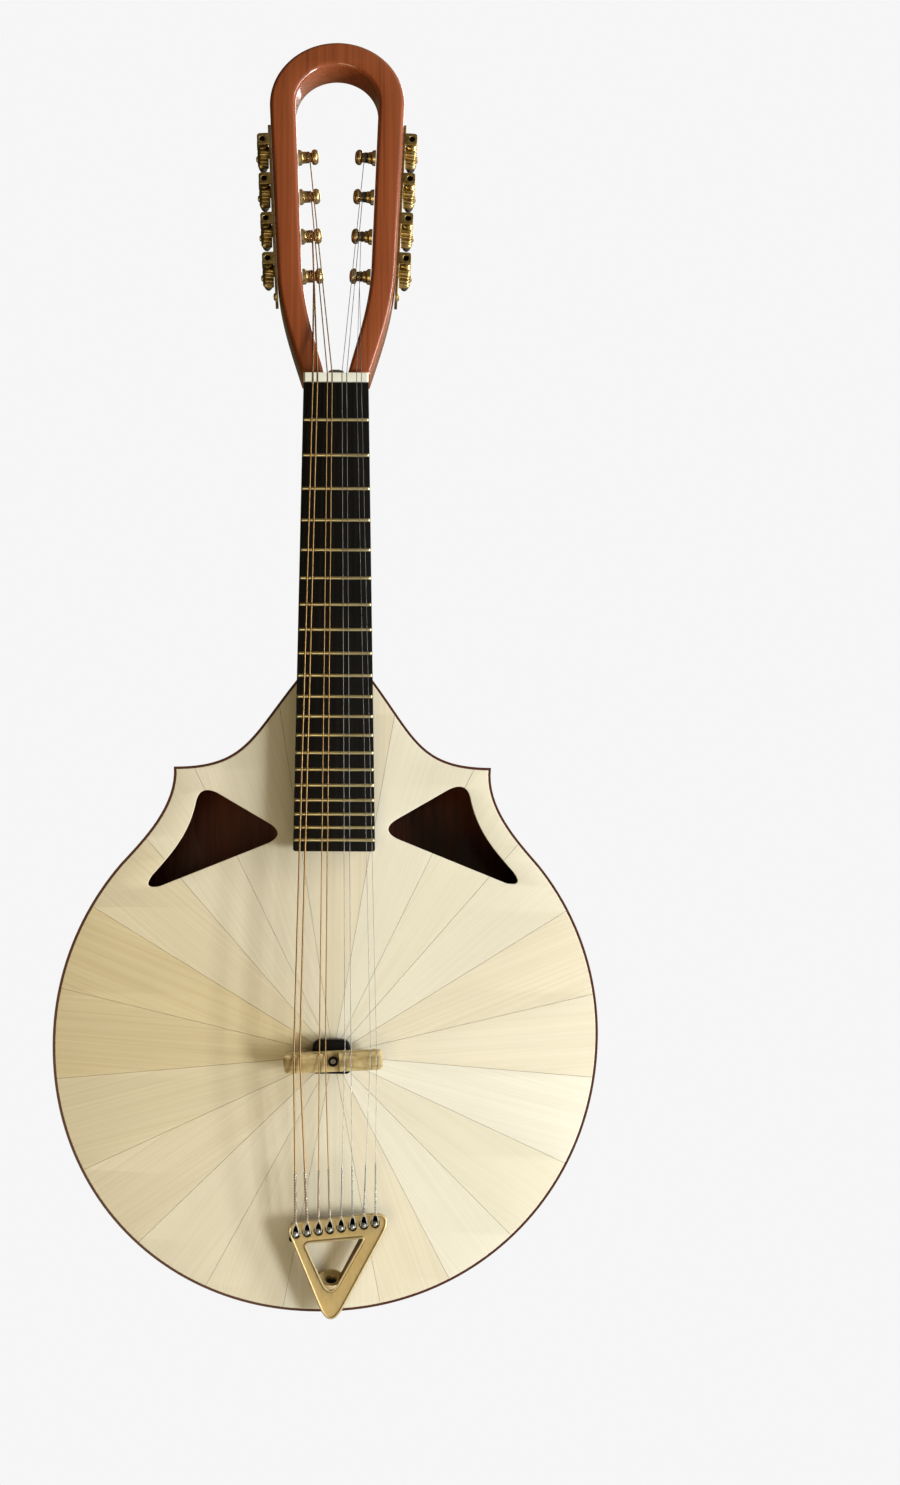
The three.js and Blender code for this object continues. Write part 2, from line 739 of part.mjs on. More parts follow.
const screwCentre = new THREE.Vector3(0, 0, bridge.saddleZ);

function bridgeBase() {
  const { width, length, centreX, centreZ, top, cornerRadius, headSideRadius } = bridge;
  const [left, right] = [centreX - width / 2, centreX + width / 2];
  const [low, high] = [centreZ - length / 2, centreZ + length / 2];
  const corners = [at(left, low), at(right, low), at(right, high), at(left, high)];
  const radii = [cornerRadius, cornerRadius, headSideRadius, headSideRadius];
  const hole = rod(screw.radius + glueLine, 2 * (-top - 1), screwCentre.clone().setY(top), alongY);
  return cut(slab(roundedPolygon(corners, radii), top, 0), hole);
}

// The saddle, a bar with its ridge along the side nearest the nut, turned a little about its screw.
function bridgeSaddle() {
  const { saddleLength, saddleWidth, saddleUnderside, ridgeTop, ridgeFromCentre, lowEdgeTop } = bridge;
  const { cornerRadius, ridgeChamfer, pocketHalfWidth, pocketFloor, skew, saddleZ } = bridge;
  const [x, z] = [saddleLength / 2, saddleWidth / 2];
  const section = new THREE.Shape([
    at(-z, saddleUnderside),
    at(z, saddleUnderside),
    at(z, ridgeTop + ridgeChamfer),
    at(ridgeFromCentre, ridgeTop),
    at(-z, lowEdgeTop),
  ]);
  const bar = new THREE.ExtrudeGeometry(section, { depth: saddleLength, bevelEnabled: false });
  bar.rotateY(-Math.PI / 2).translate(x, 0, 0);
  const corners = [at(-x, -z), at(x, -z), at(x, z), at(-x, z)];
  const ends = slab(roundedPolygon(corners, corners.map(() => cornerRadius)), ridgeTop - 1, 0, 3);
  const pocket = slab(rectangle(-pocketHalfWidth, pocketHalfWidth, -z - 1, z + 1), ridgeTop - 1, pocketFloor);
  const hole = rod(screw.radius + glueLine, throughAll, new THREE.Vector3(), alongY);
  return cut(common(bar, ends), pocket, hole).rotateY(-skew).translate(0, 0, saddleZ);
}

function bridgeScrew() {
  const underHead = -bridge.pocketFloor + glueLine;
  const top = underHead + screw.headHeight;
  const profile = [at(0, -screw.endY), at(screw.radius, -screw.endY), at(screw.radius, underHead)];
  profile.push(at(screw.headRadius, underHead), at(screw.headRadius, top), at(0, top));
  return new THREE.LatheGeometry(profile, 16).rotateX(Math.PI).translate(0, 0, bridge.saddleZ);
}

addPiece("bridge_base", bridgeBase(), finishes.ebony);
addPiece("bridge_saddle", bridgeSaddle(), finishes.maple);
addPiece("bridge_screw", bridgeScrew(), finishes.blackSteel);

// ---------- Tailpiece ----------

const pinAt = (index) => tailpiece.firstPin.clone().lerp(tailpiece.lastPin, index / (strings.length - 1));

function tailpieceSolid() {
  const { corners, cornerRadii, opening, openingRadii, front, back, pinRadius, pinTop } = tailpiece;
  const shape = roundedPolygon(corners, cornerRadii);
  shape.holes.push(roundedPolygon(opening, openingRadii, new THREE.Path()));
  const pins = strings.map((string, index) => {
    const { x, y } = pinAt(index);
    const length = back - pinTop;
    return rod(pinRadius, length, new THREE.Vector3(x, back - length / 2, y), alongY, 8);
  });
  const { centre, radius, recessRadius, recessDepth } = boltSeat;
  const along = (distance) => centre.clone().addScaledVector(seatAxis, distance);
  const seat = rod(radius, 16, along(8), seatAxis, 20);
  const round = rectangle(-throughAll, throughAll, centre.z - throughAll, centre.z + throughAll);
  const insideBody = slab(round, 0, 40);
  const aboveFront = slab(round, front - 20, front);
  const trimmedSeat = cut(seat, insideBody, aboveFront);
  const recess = rod(recessRadius, 2 * recessDepth, centre, seatAxis);
  const plate = cut(slab(shape, front, back), rod(radius - 0.6, 20, along(-10), seatAxis, 20));
  return cut(join(plate, trimmedSeat, ...pins), recess, boltHole());
}

function tailpieceBolt() {
  const { centre, recessDepth, tilt } = boltSeat;
  const { headRadius, headHeight, crownRadius, crownStart, radius, length } = bolt;
  const profile = [at(0, -length), at(radius, -length), at(radius, glueLine), at(headRadius, glueLine)];
  profile.push(at(headRadius, crownStart), at(crownRadius, headHeight), at(0, headHeight));
  const sunk = centre.clone().addScaledVector(seatAxis, recessDepth);
  const turned = new THREE.LatheGeometry(profile, 12).rotateX(Math.PI - tilt);
  return turned.translate(sunk.x, sunk.y, sunk.z);
}

addPiece("tailpiece", tailpieceSolid(), finishes.tailpieceBrass);
addPiece("tailpiece_bolt", tailpieceBolt(), finishes.blackSteel);

// ---------- Strings ----------

// A round wire through points, mitred where it bends.
function wire(points, radius) {
  const sidesAround = 8;
  const across = new THREE.Vector3(1, 0, 0);
  const rings = points.map((point, i) => {
    const before = point.clone().sub(points[Math.max(i - 1, 0)]).normalize();
    const after = points[Math.min(i + 1, points.length - 1)].clone().sub(point).normalize();
    const along = before.add(after).normalize();
    const up = along.clone().cross(across).normalize();
    const aside = up.clone().cross(along).normalize();
    return Array.from({ length: sidesAround }, (_, k) => {
      const angle = (2 * Math.PI * k) / sidesAround;
      const ringPoint = point.clone().addScaledVector(aside, radius * Math.cos(angle));
      return ringPoint.addScaledVector(up, radius * Math.sin(angle));
    });
  });
  return loft(rings);
}

// From the hitch pin over the saddle's ridge, along the board, over the nut and up to the post.
function stringRoute(string, index) {
  const { radius, side, post: number } = string;
  const pin = pinAt(index);
  const nutX = stringX(index, nutSpacing);
  const bridgeX = stringX(index, bridgeSpacing);
  const ridgeZ = bridge.saddleZ + bridge.ridgeFromCentre + bridgeX * Math.tan(bridge.skew);
  const { row } = rows.find((candidate) => candidate.side === side);
  const height = tuner.middleY + postY(number);
  const windingX = -(armOuter(height) - armInner(height)) - post.windingReach;
  const windingZ = postZ + post.windingRadius + glueLine + radius;
  return [
    new THREE.Vector3(pin.x, tailpiece.stringY, pin.y + tailpiece.pinRadius + glueLine),
    new THREE.Vector3(bridgeX, bridge.ridgeTop - glueLine - radius, ridgeZ),
    new THREE.Vector3(nutX, nutSpacing.y, 0),
    new THREE.Vector3(nutX, nutSpacing.y, nut.thickness),
    row.localToWorld(new THREE.Vector3(side * windingX, postY(number), windingZ)),
  ];
}

model.updateMatrixWorld(true);
strings.forEach((string, index) => {
  const metal = index < 4 ? finishes.bronze : finishes.steel;
  addPiece(`string_${string.name}`, wire(stringRoute(string, index), string.radius), metal);
});

export default model;
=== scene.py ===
"""The looks of a flat-backed eight-string mandolin with an open-loop head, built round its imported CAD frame.

The frame is in metres: +Z up to the head, the strings and soundboard face -Y, and the origin is at the nut.
Sizes below are the instrument's own in millimetres, and every mesh is turned into metres as it is made.
"""

import json
import math
import random

import bmesh
import bpy
from mathutils import Matrix, Vector


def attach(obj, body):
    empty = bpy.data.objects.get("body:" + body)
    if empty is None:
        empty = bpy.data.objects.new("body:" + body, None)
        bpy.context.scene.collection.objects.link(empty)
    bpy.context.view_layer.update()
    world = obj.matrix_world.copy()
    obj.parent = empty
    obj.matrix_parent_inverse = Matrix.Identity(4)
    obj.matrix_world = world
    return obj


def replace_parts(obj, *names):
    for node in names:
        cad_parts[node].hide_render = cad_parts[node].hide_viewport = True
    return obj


MM = 0.001
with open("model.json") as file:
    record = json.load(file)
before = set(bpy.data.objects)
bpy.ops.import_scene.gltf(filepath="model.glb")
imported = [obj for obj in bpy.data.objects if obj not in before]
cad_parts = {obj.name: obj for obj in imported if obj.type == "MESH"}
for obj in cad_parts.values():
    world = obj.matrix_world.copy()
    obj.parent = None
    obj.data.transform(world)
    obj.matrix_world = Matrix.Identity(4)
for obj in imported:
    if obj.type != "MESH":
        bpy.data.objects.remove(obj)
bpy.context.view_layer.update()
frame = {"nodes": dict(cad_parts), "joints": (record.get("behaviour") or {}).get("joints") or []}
random.seed(12)

# ---------- Driving dimensions, in millimetres ----------

SCALE_LENGTH = 356
BODY = dict(radius=146.4, centre_z=-350.9, top_z=-157.5, top_half=20, shoulder=(85.2, -204.9), lean=0.022)
LOWER_SQUARENESS = 2.06
LEFT_HOLE_OFFSET = (-1.2, -2.4)
BODY_DEPTH = 52
PLATE = 3
RIM = 2.5
BINDING = 1.3
WAIST_ANGLE = math.radians(39.8)
WEDGE_CENTRE = (0, -359.6)
SEAM_ANGLES = [13.5, 32, 49, 64, 80, 99, 116, 131, 148.5, 166.4,
               185.1, 204.9, 224.1, 241.3, 259, 281, 297.7, 314.9, 335.3, 355.4]
# The extra tan of the wedges that are plainly browner. The others get a small random amount.
TANNER_WEDGES = {8: 0.33, 9: 0.3, 0: 0.24, 19: 0.2, 7: 0.1, 10: 0.1, 4: 0.1, 15: 0.1}

# Each wedge takes its grain from its own place in the texture, this many metres from the last one's.
GRAIN_STEP = 1.7
ROUGHNESS_SPREAD = 0.08

BOARD = dict(nut_half=17.35, end_half=21.9, length=250, face=-12, under=-6)
FRETS = 20
NUT = dict(thickness=4.8, top=-14.6)
NECK = dict(nut_back=9, heel_back=11, heel_start=-118, heel_end=50, end_z=-157.2)

HEAD_TILT = math.radians(15)
HEAD_ORIGIN = (0, -7, 5.2)
HEAD = dict(thickness=21.5, arch_y=161.6, outer=37.1, inner=22.8, bend_y=62)
OUTER_LEAN = math.radians(2.86)
INNER_LEAN = math.radians(2.3)

PITCH = 23.8
MIDDLE_Y = 96.8
POST_Z = -10.75
WORM_X = 5.0
POST_RADIUS = 2.62
WINDING_REACH = 6.5
WORM_ABOVE = 8
TEETH = 14
GEAR_MEAN, WORM_MEAN, TOOTH = 4.95, 2.65, 0.45
THREAD_PITCH = 2 * math.pi * (WORM_ABOVE + GEAR_MEAN - WORM_MEAN) / 2 / TEETH
PLATE_LOW, PLATE_HIGH, PLATE_WIDTH = -52, 54, 16

STRINGS = [("g1", 0.48, -1, 0), ("g2", 0.48, -1, 1), ("d1", 0.33, -1, 2), ("d2", 0.33, -1, 3),
           ("a1", 0.19, 1, 3), ("a2", 0.19, 1, 2), ("e1", 0.14, 1, 1), ("e2", 0.14, 1, 0)]
NUT_COURSE, NUT_PAIR, NUT_OFFSET, NUT_STRING_Y = 7.8, 2.5, 0.5, -14
BRIDGE_COURSE, BRIDGE_PAIR, BRIDGE_OFFSET = 13.6, 3.2, 1.1

BRIDGE = dict(centre_x=-0.9, centre_z=-359.7, width=20.4, length=18.4, top=-9)
SADDLE = dict(z=-361.8, length=52.8, width=11, under=-9.3, ridge=-16.9, ridge_at=4.5, low=-14, pocket=-13.2)
SKEW = math.radians(2.8)

TAIL_CORNERS = [(-25.7, -448.3), (-1.15, -506.9), (33.9, -441.5)]
TAIL_RADII = [6, 7.6, 7.5]
WINDOW_CORNERS = [(-16.6, -458.3), (-1.4, -491), (18.7, -454.9)]
WINDOW_RADII = [3.6, 6.4, 2.2]
TAIL_FRONT, TAIL_BACK = -10.5, -8
FIRST_PIN, LAST_PIN = Vector((-19.6, -454.3)), Vector((22.8, -448.5))

# ---------- Looks: procedural materials ----------


def node(tree, kind, inputs=(), **settings):
    """A shader node with its settings, and its inputs given as values or as other nodes' outputs."""
    made = tree.nodes.new(kind)
    for key, value in settings.items():
        setattr(made, key, value)
    for key, value in dict(inputs).items():
        if isinstance(value, bpy.types.NodeSocket):
            tree.links.new(value, made.inputs[key])
        else:
            made.inputs[key].default_value = value
    return made


def colour(code):
    """A six-digit colour code as the linear numbers that a shader takes."""
    parts = [int(code[i:i + 2], 16) / 255 for i in (0, 2, 4)]
    linear = [c / 12.92 if c <= 0.04045 else ((c + 0.055) / 1.055) ** 2.4 for c in parts]
    return (*linear, 1)


def mix(tree, factor, first, second, blend="MIX"):
    mixer = node(tree, "ShaderNodeMix", {0: factor, 6: first, 7: second}, data_type="RGBA", blend_type=blend)
    return mixer.outputs[2]


def ramp(tree, value, stops):
    made = node(tree, "ShaderNodeValToRGB", {0: value})
    elements = made.color_ramp.elements
    while len(elements) < len(stops):
        elements.new(0.5)
    for element, (place, shade) in zip(elements, stops):
        element.position = place
        element.color = colour(shade) if isinstance(shade, str) else (shade, shade, shade, 1)
    return made.outputs[0]


def mahogany(name, tilt=0.0):
    """Reddish wood under a gloss coat, with its grain up the neck, or up the leaning head."""
    return surface(name, "a05129", "843f1f", (700, 700, 9), 0.4, bump=0.05, edge_wear_and_highlight="b4744a", recess="34120a",
                   coat=1.0, specular=0.12, tilt=tilt)


def surface(name, light, dark, stretch, roughness, metallic=0.0, bump=0.1, edge_wear_and_highlight=None, recess=None,
            coat=0.0, uv=False, specular=0.5, clouds=(22.0, 0.86), tilt=0.0):
    """A finish with grain or scratches along one axis, broad cloudiness, edges lightened by wear and painted
    highlight, hollows darkened by painted shade and a fine bump.
    """
    cloud_scale, cloud_depth = clouds
    material = bpy.data.materials.new(name)
    material.use_nodes = True
    tree = material.node_tree
    shader = tree.nodes["Principled BSDF"]
    source = node(tree, "ShaderNodeTexCoord").outputs["UV" if uv else "Object"]
    if tilt:
        source = node(tree, "ShaderNodeMapping", {"Vector": source, "Rotation": (tilt, 0, 0)}).outputs[0]
    grain_space = node(tree, "ShaderNodeMapping", {"Vector": source, "Scale": stretch}).outputs[0]
    fine = node(tree, "ShaderNodeTexNoise",
                {"Vector": grain_space, "Scale": 1.0, "Detail": 4.0, "Roughness": 0.6})
    broad = node(tree, "ShaderNodeTexNoise", {"Vector": source, "Scale": cloud_scale, "Detail": 3.0})
    fine_value, broad_value = fine.outputs[0], broad.outputs[0]
    shade = ramp(tree, fine_value, [(0.3, dark), (0.62, light)])
    cloud = ramp(tree, broad_value, [(0.3, cloud_depth), (0.7, 1.0)])
    shade = mix(tree, 0.7, shade, cloud, "MULTIPLY")
    edges = node(tree, "ShaderNodeNewGeometry").outputs["Pointiness"]
    # Painted shade: where the pointiness is low, in hollows and creases, the colour darkens towards the given
    # one.
    if recess:
        shade = mix(tree, ramp(tree, edges, [(0.40, 0.9), (0.49, 0.0)]), shade, colour(recess))
    # Partly wear and partly painted highlight: where the pointiness is high, on edges, the colour lightens
    # towards the given one.
    if edge_wear_and_highlight:
        shade = mix(tree, ramp(tree, edges, [(0.53, 0.0), (0.62, 0.7)]), shade, colour(edge_wear_and_highlight))
    tree.links.new(shade, shader.inputs["Base Color"])
    rough = node(tree, "ShaderNodeMapRange",
                 {"Value": fine_value, "To Min": roughness - ROUGHNESS_SPREAD,
                  "To Max": roughness + ROUGHNESS_SPREAD})
    tree.links.new(rough.outputs[0], shader.inputs["Roughness"])
    raised = node(tree, "ShaderNodeBump", {"Height": fine_value, "Strength": bump, "Distance": 0.0003})
    tree.links.new(raised.outputs[0], shader.inputs["Normal"])
    shader.inputs["Metallic"].default_value = metallic
    shader.inputs["Specular IOR Level"].default_value = specular
    shader.inputs["Coat Weight"].default_value = coat
    shader.inputs["Coat Roughness"].default_value = 0.14
    shader.inputs["Coat IOR"].default_value = 1.75
    return material


def spruce_wedge():
    """Pale spruce: each wedge has its own grain direction in its UV map and its own tint, part of it painted
    shade.
    """
    material = surface("spruce_top", "e7e3d2", "e1dcc9", (6, 620, 1), 0.6, bump=0.05, uv=True, specular=0.2,
                       clouds=(14.0, 0.94))
    tree = material.node_tree
    shader = tree.nodes["Principled BSDF"]
    base = shader.inputs["Base Color"].links[0].from_socket
    tint = node(tree, "ShaderNodeAttribute", attribute_name="tint").outputs["Fac"]
    source = tree.nodes["Texture Coordinate"].outputs["UV"]
    silk_space = node(tree, "ShaderNodeMapping", {"Vector": source, "Scale": (6, 110, 1)}).outputs[0]
    silk = node(tree, "ShaderNodeTexNoise", {"Vector": silk_space, "Scale": 1.0, "Detail": 3.0})
    silky = mix(tree, 0.22, base, ramp(tree, silk.outputs[0], [(0.35, 0.9), (0.65, 1.0)]), "MULTIPLY")
    line_space = node(tree, "ShaderNodeMapping", {"Vector": source, "Scale": (5, 620, 1)}).outputs[0]
    lines = node(tree, "ShaderNodeTexNoise", {"Vector": line_space, "Scale": 1.0, "Detail": 2.0}).outputs[0]
    tanned = mix(tree, 1.0, silky, ramp(tree, lines, [(0.3, "e2cb9a"), (0.6, "ecdaae")]), "MULTIPLY")
    tree.links.new(mix(tree, tint, silky, tanned), shader.inputs["Base Color"])
    return material


def wound_bronze():
    """Bronze wire wound round a core: the turns are a fine wave along the string."""
    material = surface("bronze_wound", "94784e", "5e482a", (400, 400, 2500), 0.34, 1.0, edge_wear_and_highlight="c8a070")
    tree = material.node_tree
    source = tree.nodes["Texture Coordinate"].outputs["Object"]
    turns = node(tree, "ShaderNodeTexWave", {"Vector": source, "Scale": 420.0}, bands_direction="Z")
    raised = node(tree, "ShaderNodeBump",
                  {"Height": turns.outputs["Fac"], "Strength": 0.5, "Distance": 0.0001})
    tree.links.new(raised.outputs[0], tree.nodes["Principled BSDF"].inputs["Normal"])
    return material


ALONG_Z = (420, 420, 14)
ALONG_X = (14, 420, 420)
# In the finishes below, the colour for hollows is painted shade, and the one for edges is partly wear and
# partly painted highlight.
LOOKS = {
    "top": (spruce_wedge(), "spruce"),
    "spruce": (surface("spruce_brace", "e0d3ac", "c9b787", ALONG_X, 0.6, edge_wear_and_highlight="efe6cb"), "spruce"),
    "mahogany": (mahogany("mahogany_neck"), "mahogany"),
    "head": (mahogany("mahogany_head", HEAD_TILT), "mahogany"),
    "back": (surface("mahogany_back", "652a12", "431707", ALONG_Z, 0.38, bump=0.16, edge_wear_and_highlight="8a4a28",
                     recess="240c05", coat=0.15, specular=0.3), "mahogany"),
    # Painted shade: the wood inside the body is far darker than the neck's mahogany, for the dim closed box.
    "inside": (surface("mahogany_inside_painted_shade", "3a150a", "220a04", ALONG_X, 0.6, bump=0.2, recess="180602",
                       specular=0.15), "mahogany"),
    "rim": (surface("mahogany_sides", "32130b", "1d0a06", (420, 14, 14), 0.42, bump=0.12, edge_wear_and_highlight="54281a",
                    coat=0.15, specular=0.3), "dark_mahogany"),
    "ebony": (surface("ebony", "0e0b0a", "060504", ALONG_Z, 0.46, bump=0.12, edge_wear_and_highlight="5a4636",
                      specular=0.14), "ebony"),
    "bone": (surface("bone", "e2e2d0", "d2d2bc", (90, 300, 300), 0.38, bump=0.04, edge_wear_and_highlight="f0f0e4"), "bone"),
    "maple": (surface("maple", "cdb882", "8f7340", (60, 420, 260), 0.42, bump=0.1, edge_wear_and_highlight="e2d3a6",
                      recess="4a3216", clouds=(240.0, 0.62)), "maple"),
    "brass": (surface("antique_brass", "cdb277", "947a48", (500, 500, 500), 0.32, 1.0, 0.06, "fff0c0",
                      "130c04"), "brass"),
    "gold": (surface("satin_gold", "c4ae7c", "bba370", (600, 600, 200), 0.4, 0.6, 0.04, "fbeecb",
                     "4a3415"), "satin_brass"),
    # Painted shade: a darker copy of the satin gold, for the window's wall that faces away from the light.
    "gold_painted_shade": (surface("satin_gold_painted_shade", "66491f", "443014", (600, 600, 200), 0.6, 0.3, 0.04, "8a6a34",
                       "2a1c0a"), "satin_brass"),
    "fret": (surface("fret_brass", "e4d6a4", "c7b47e", (60, 900, 900), 0.3, 1.0, 0.05, "f6edcb"), "brass"),
    "silver": (surface("bright_ball_ends", "b4b4b0", "7c7c78", (400, 400, 400), 0.44, 1.0, 0.05,
                       "d8d8d4"), "steel"),
    "steel": (surface("string_steel", "84837e", "5a5956", (500, 500, 60), 0.3, 1.0, 0.05, "a8a8a4"), "steel"),
    "bronze": (wound_bronze(), "bronze"),
    "black": (surface("black_steel", "1c1c1e", "0c0c0d", (700, 700, 700), 0.35, 1.0, 0.08,
                      "77777a"), "black_steel"),
    # Painted shade: a near-black finish for the ring in each ear's hole and the ledge seen through the
    # tailpiece's slots.
    "dark": (surface("near_black_painted_shade", "120d09", "070504", (500, 500, 500), 0.8, bump=0.1, edge_wear_and_highlight="1c1510",
                     specular=0.02), "black_steel"),
    "knob": (surface("dark_button", "2a221b", "17120e", (120, 120, 300), 0.22, bump=0.03, edge_wear_and_highlight="584a3c",
                     coat=0.6), "dark_knob"),
}

# ---------- Shapes ----------


def columns(x, y, z, origin=(0, 0, 0)):
    """The matrix that takes a drawing's x, y and z along these directions, from this origin."""
    made = Matrix.Identity(4)
    for column, vector in enumerate((x, y, z, origin)):
        for row in range(3):
            made[row][column] = vector[row]
    return made


FRONT = columns((1, 0, 0), (0, 0, 1), (0, -1, 0))
HEAD_PLACE = columns((1, 0, 0), (0, math.sin(HEAD_TILT), math.cos(HEAD_TILT)),
                     (0, -math.cos(HEAD_TILT), math.sin(HEAD_TILT)), HEAD_ORIGIN)


def shift(x=0, y=0, z=0):
    return Matrix.Translation((x, y, z))


def tidy(mesh, place, flat_faces=False):
    """Merges doubled points, faces the skin outwards and puts it in place. A plate's two faces stay flat."""
    work = bmesh.new()
    work.from_mesh(mesh)
    bmesh.ops.remove_doubles(work, verts=work.verts, dist=0.002)
    bmesh.ops.recalc_face_normals(work, faces=work.faces)
    for face in work.faces:
        face.smooth = not (flat_faces and abs(face.normal.z) > 0.9999)
    work.transform(Matrix.Scale(MM, 4) @ place)
    work.to_mesh(mesh)
    work.free()
    return mesh


def add(name, mesh, look, body="instrument", sharp=35):
    """A finished piece: its mesh, finish and material slot, riding on its body."""
    made = bpy.data.objects.new(name, mesh)
    bpy.context.scene.collection.objects.link(made)
    mesh.materials.clear()
    mesh.materials.append(LOOKS[look][0])
    mesh.set_sharp_from_angle(angle=math.radians(sharp))
    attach(made, body)
    return made


def skin(rings, place=Matrix.Identity(4), closed=False):
    """A surface over rings of equal numbers of points, capped at both ends unless it closes on itself."""
    sides = len(rings[0])
    points = [tuple(point) for ring in rings for point in ring]
    faces = []
    for r in range(len(rings) - (0 if closed else 1)):
        after = (r + 1) % len(rings)
        for s in range(sides):
            t = (s + 1) % sides
            faces.append((r * sides + s, r * sides + t, after * sides + t, after * sides + s))
    if not closed:
        faces.append(tuple(range(sides))[::-1])
        faces.append(tuple(range(len(points) - sides, len(points))))
    mesh = bpy.data.meshes.new("skin")
    mesh.from_pydata(points, [], faces)
    return tidy(mesh, place)


def plate(loops, thickness, edge, place, steps=3):
    """A flat plate drawn in x and y, with holes and rounded edges, its middle at z 0."""
    curve = bpy.data.curves.new("outline", "CURVE")
    curve.dimensions = "2D"
    curve.fill_mode = "BOTH"
    curve.extrude = thickness / 2 - edge
    curve.bevel_depth = edge
    curve.bevel_resolution = steps
    curve.offset = -edge
    for loop in loops:
        spline = curve.splines.new("POLY")
        spline.points.add(len(loop) - 1)
        for point, (x, y) in zip(spline.points, loop):
            point.co = (x, y, 0, 1)
        spline.use_cyclic_u = True
    drawn = bpy.data.objects.new("outline", curve)
    mesh = bpy.data.meshes.new_from_object(drawn)
    bpy.data.objects.remove(drawn)
    bpy.data.curves.remove(curve)
    return tidy(mesh, place, flat_faces=True)


def lathe(profile, place, sides=32):
    """A turned piece: the profile holds a radius and a height along z for each step."""
    turns = [2 * math.pi * i / sides for i in range(sides)]
    return skin([[(r * math.cos(a), r * math.sin(a), z) for a in turns] for r, z in profile], place)


def tube(path, radius, place=Matrix.Identity(4), sides=10, closed=False):
    """A round wire along a path."""
    path = [Vector(point) for point in path]
    count = len(path)
    aside = None
    rings = []
    for i, point in enumerate(path):
        before = path[i - 1] if closed or i else point
        after = path[(i + 1) % count] if closed or i + 1 < count else point
        along = (after - before).normalized()
        if aside is None:
            aside = along.orthogonal()
        aside = (aside - along * aside.dot(along)).normalized()
        up = along.cross(aside)
        angles = [2 * math.pi * k / sides for k in range(sides)]
        rings.append([point + (aside * math.cos(a) + up * math.sin(a)) * radius for a in angles])
    return skin(rings, place, closed)


def bezier(points, steps):
    """Points along a curve with two or more control points, its first point left out."""
    made = []
    for step in range(1, steps + 1):
        t = step / steps
        level = [Vector(p) for p in points]
        while len(level) > 1:
            level = [a.lerp(b, t) for a, b in zip(level, level[1:])]
        made.append(tuple(level[0]))
    return made


def arc(centre, radius, start, end, steps):
    angles = [start + (end - start) * i / steps for i in range(steps + 1)]
    return [(centre[0] + radius * math.cos(a), centre[1] + radius * math.sin(a)) for a in angles]


def rounded(corners, radii, steps=8):
    """A polygon with rounded corners."""
    made = []
    count = len(corners)
    for i, corner in enumerate(corners):
        corner = Vector(corner)
        before = (Vector(corners[i - 1]) - corner).normalized()
        after = (Vector(corners[(i + 1) % count]) - corner).normalized()
        reach = radii[i] / math.tan(before.angle(after) / 2)
        start, end = corner + before * reach, corner + after * reach
        made.append(tuple(start))
        made.extend(bezier([start, corner, end], steps))
    return made


def mirrored(points):
    return [(-x, y) for x, y in points]


def inset(loop, distance):
    """A closed outline moved inwards, which is to the left as it is walked, with mitred corners."""
    made = []
    for i, point in enumerate(loop):
        here = Vector(point)
        first = (here - Vector(loop[i - 1])).normalized()
        second = (Vector(loop[(i + 1) % len(loop)]) - here).normalized()
        inward = Vector((-first.y - second.y, first.x + second.x)).normalized()
        mitre = max(0.3, inward.dot(Vector((-first.y, first.x))))
        made.append(tuple(here + inward * distance / mitre))
    return made


# ---------- Body ----------


def bout_point(angle):
    """The wide part of the outline: a circle above, and a little squarer than a circle below."""
    across, up = math.cos(angle), math.sin(angle)
    power = LOWER_SQUARENESS
    square = (abs(across) ** power + abs(up) ** power) ** (-1 / power) if up < 0 else 1
    return BODY["radius"] * square * across, BODY["centre_z"] + BODY["radius"] * square * up


def askew(points):
    """The body drifts to the left of the strings' line towards its bottom."""
    return [(x + BODY["lean"] * (z - BODY["top_z"]), z) for x, z in points]


def body_half():
    """The right half of the outline in x and z, from the neck down, with its last point left out."""
    shoulder = BODY["shoulder"]
    top = (BODY["top_half"], BODY["top_z"])
    bout = [bout_point(WAIST_ANGLE + (-math.pi / 2 - WAIST_ANGLE) * i / 72) for i in range(73)]
    upper = bezier([top, (44.6, -189.3), (47, -204.8), shoulder], 26)
    lower = bezier([shoulder, (83.2, -226), (100.7, -244), bout[0]], 16)
    return [top] + upper + lower + bout[1:-1]


def body_outline():
    """The whole outline, counter-clockwise from the bottom."""
    half = body_half()
    return askew([(0, BODY["centre_z"] - BODY["radius"])] + half[::-1] + mirrored(half))


def sound_hole(side):
    path = [(33.4, -232.9), (61.5, -216.6)]
    path += bezier([(61.5, -216.6), (70.6, -212.2), (72.9, -220.3)], 10)
    path += bezier([(72.9, -220.3), (76.5, -238), (84.5, -247.5), (96.2, -260.6)], 16)
    path += bezier([(96.2, -260.6), (102.6, -268.9), (92.4, -266.8)], 10)
    path += [(33.8, -243.2)] + bezier([(33.8, -243.2), (24.6, -238.4), (33.4, -232.9)], 10)[:-1]
    across, up = (0, 0) if side > 0 else LEFT_HOLE_OFFSET
    return [(side * x + across, y + up) for x, y in path]


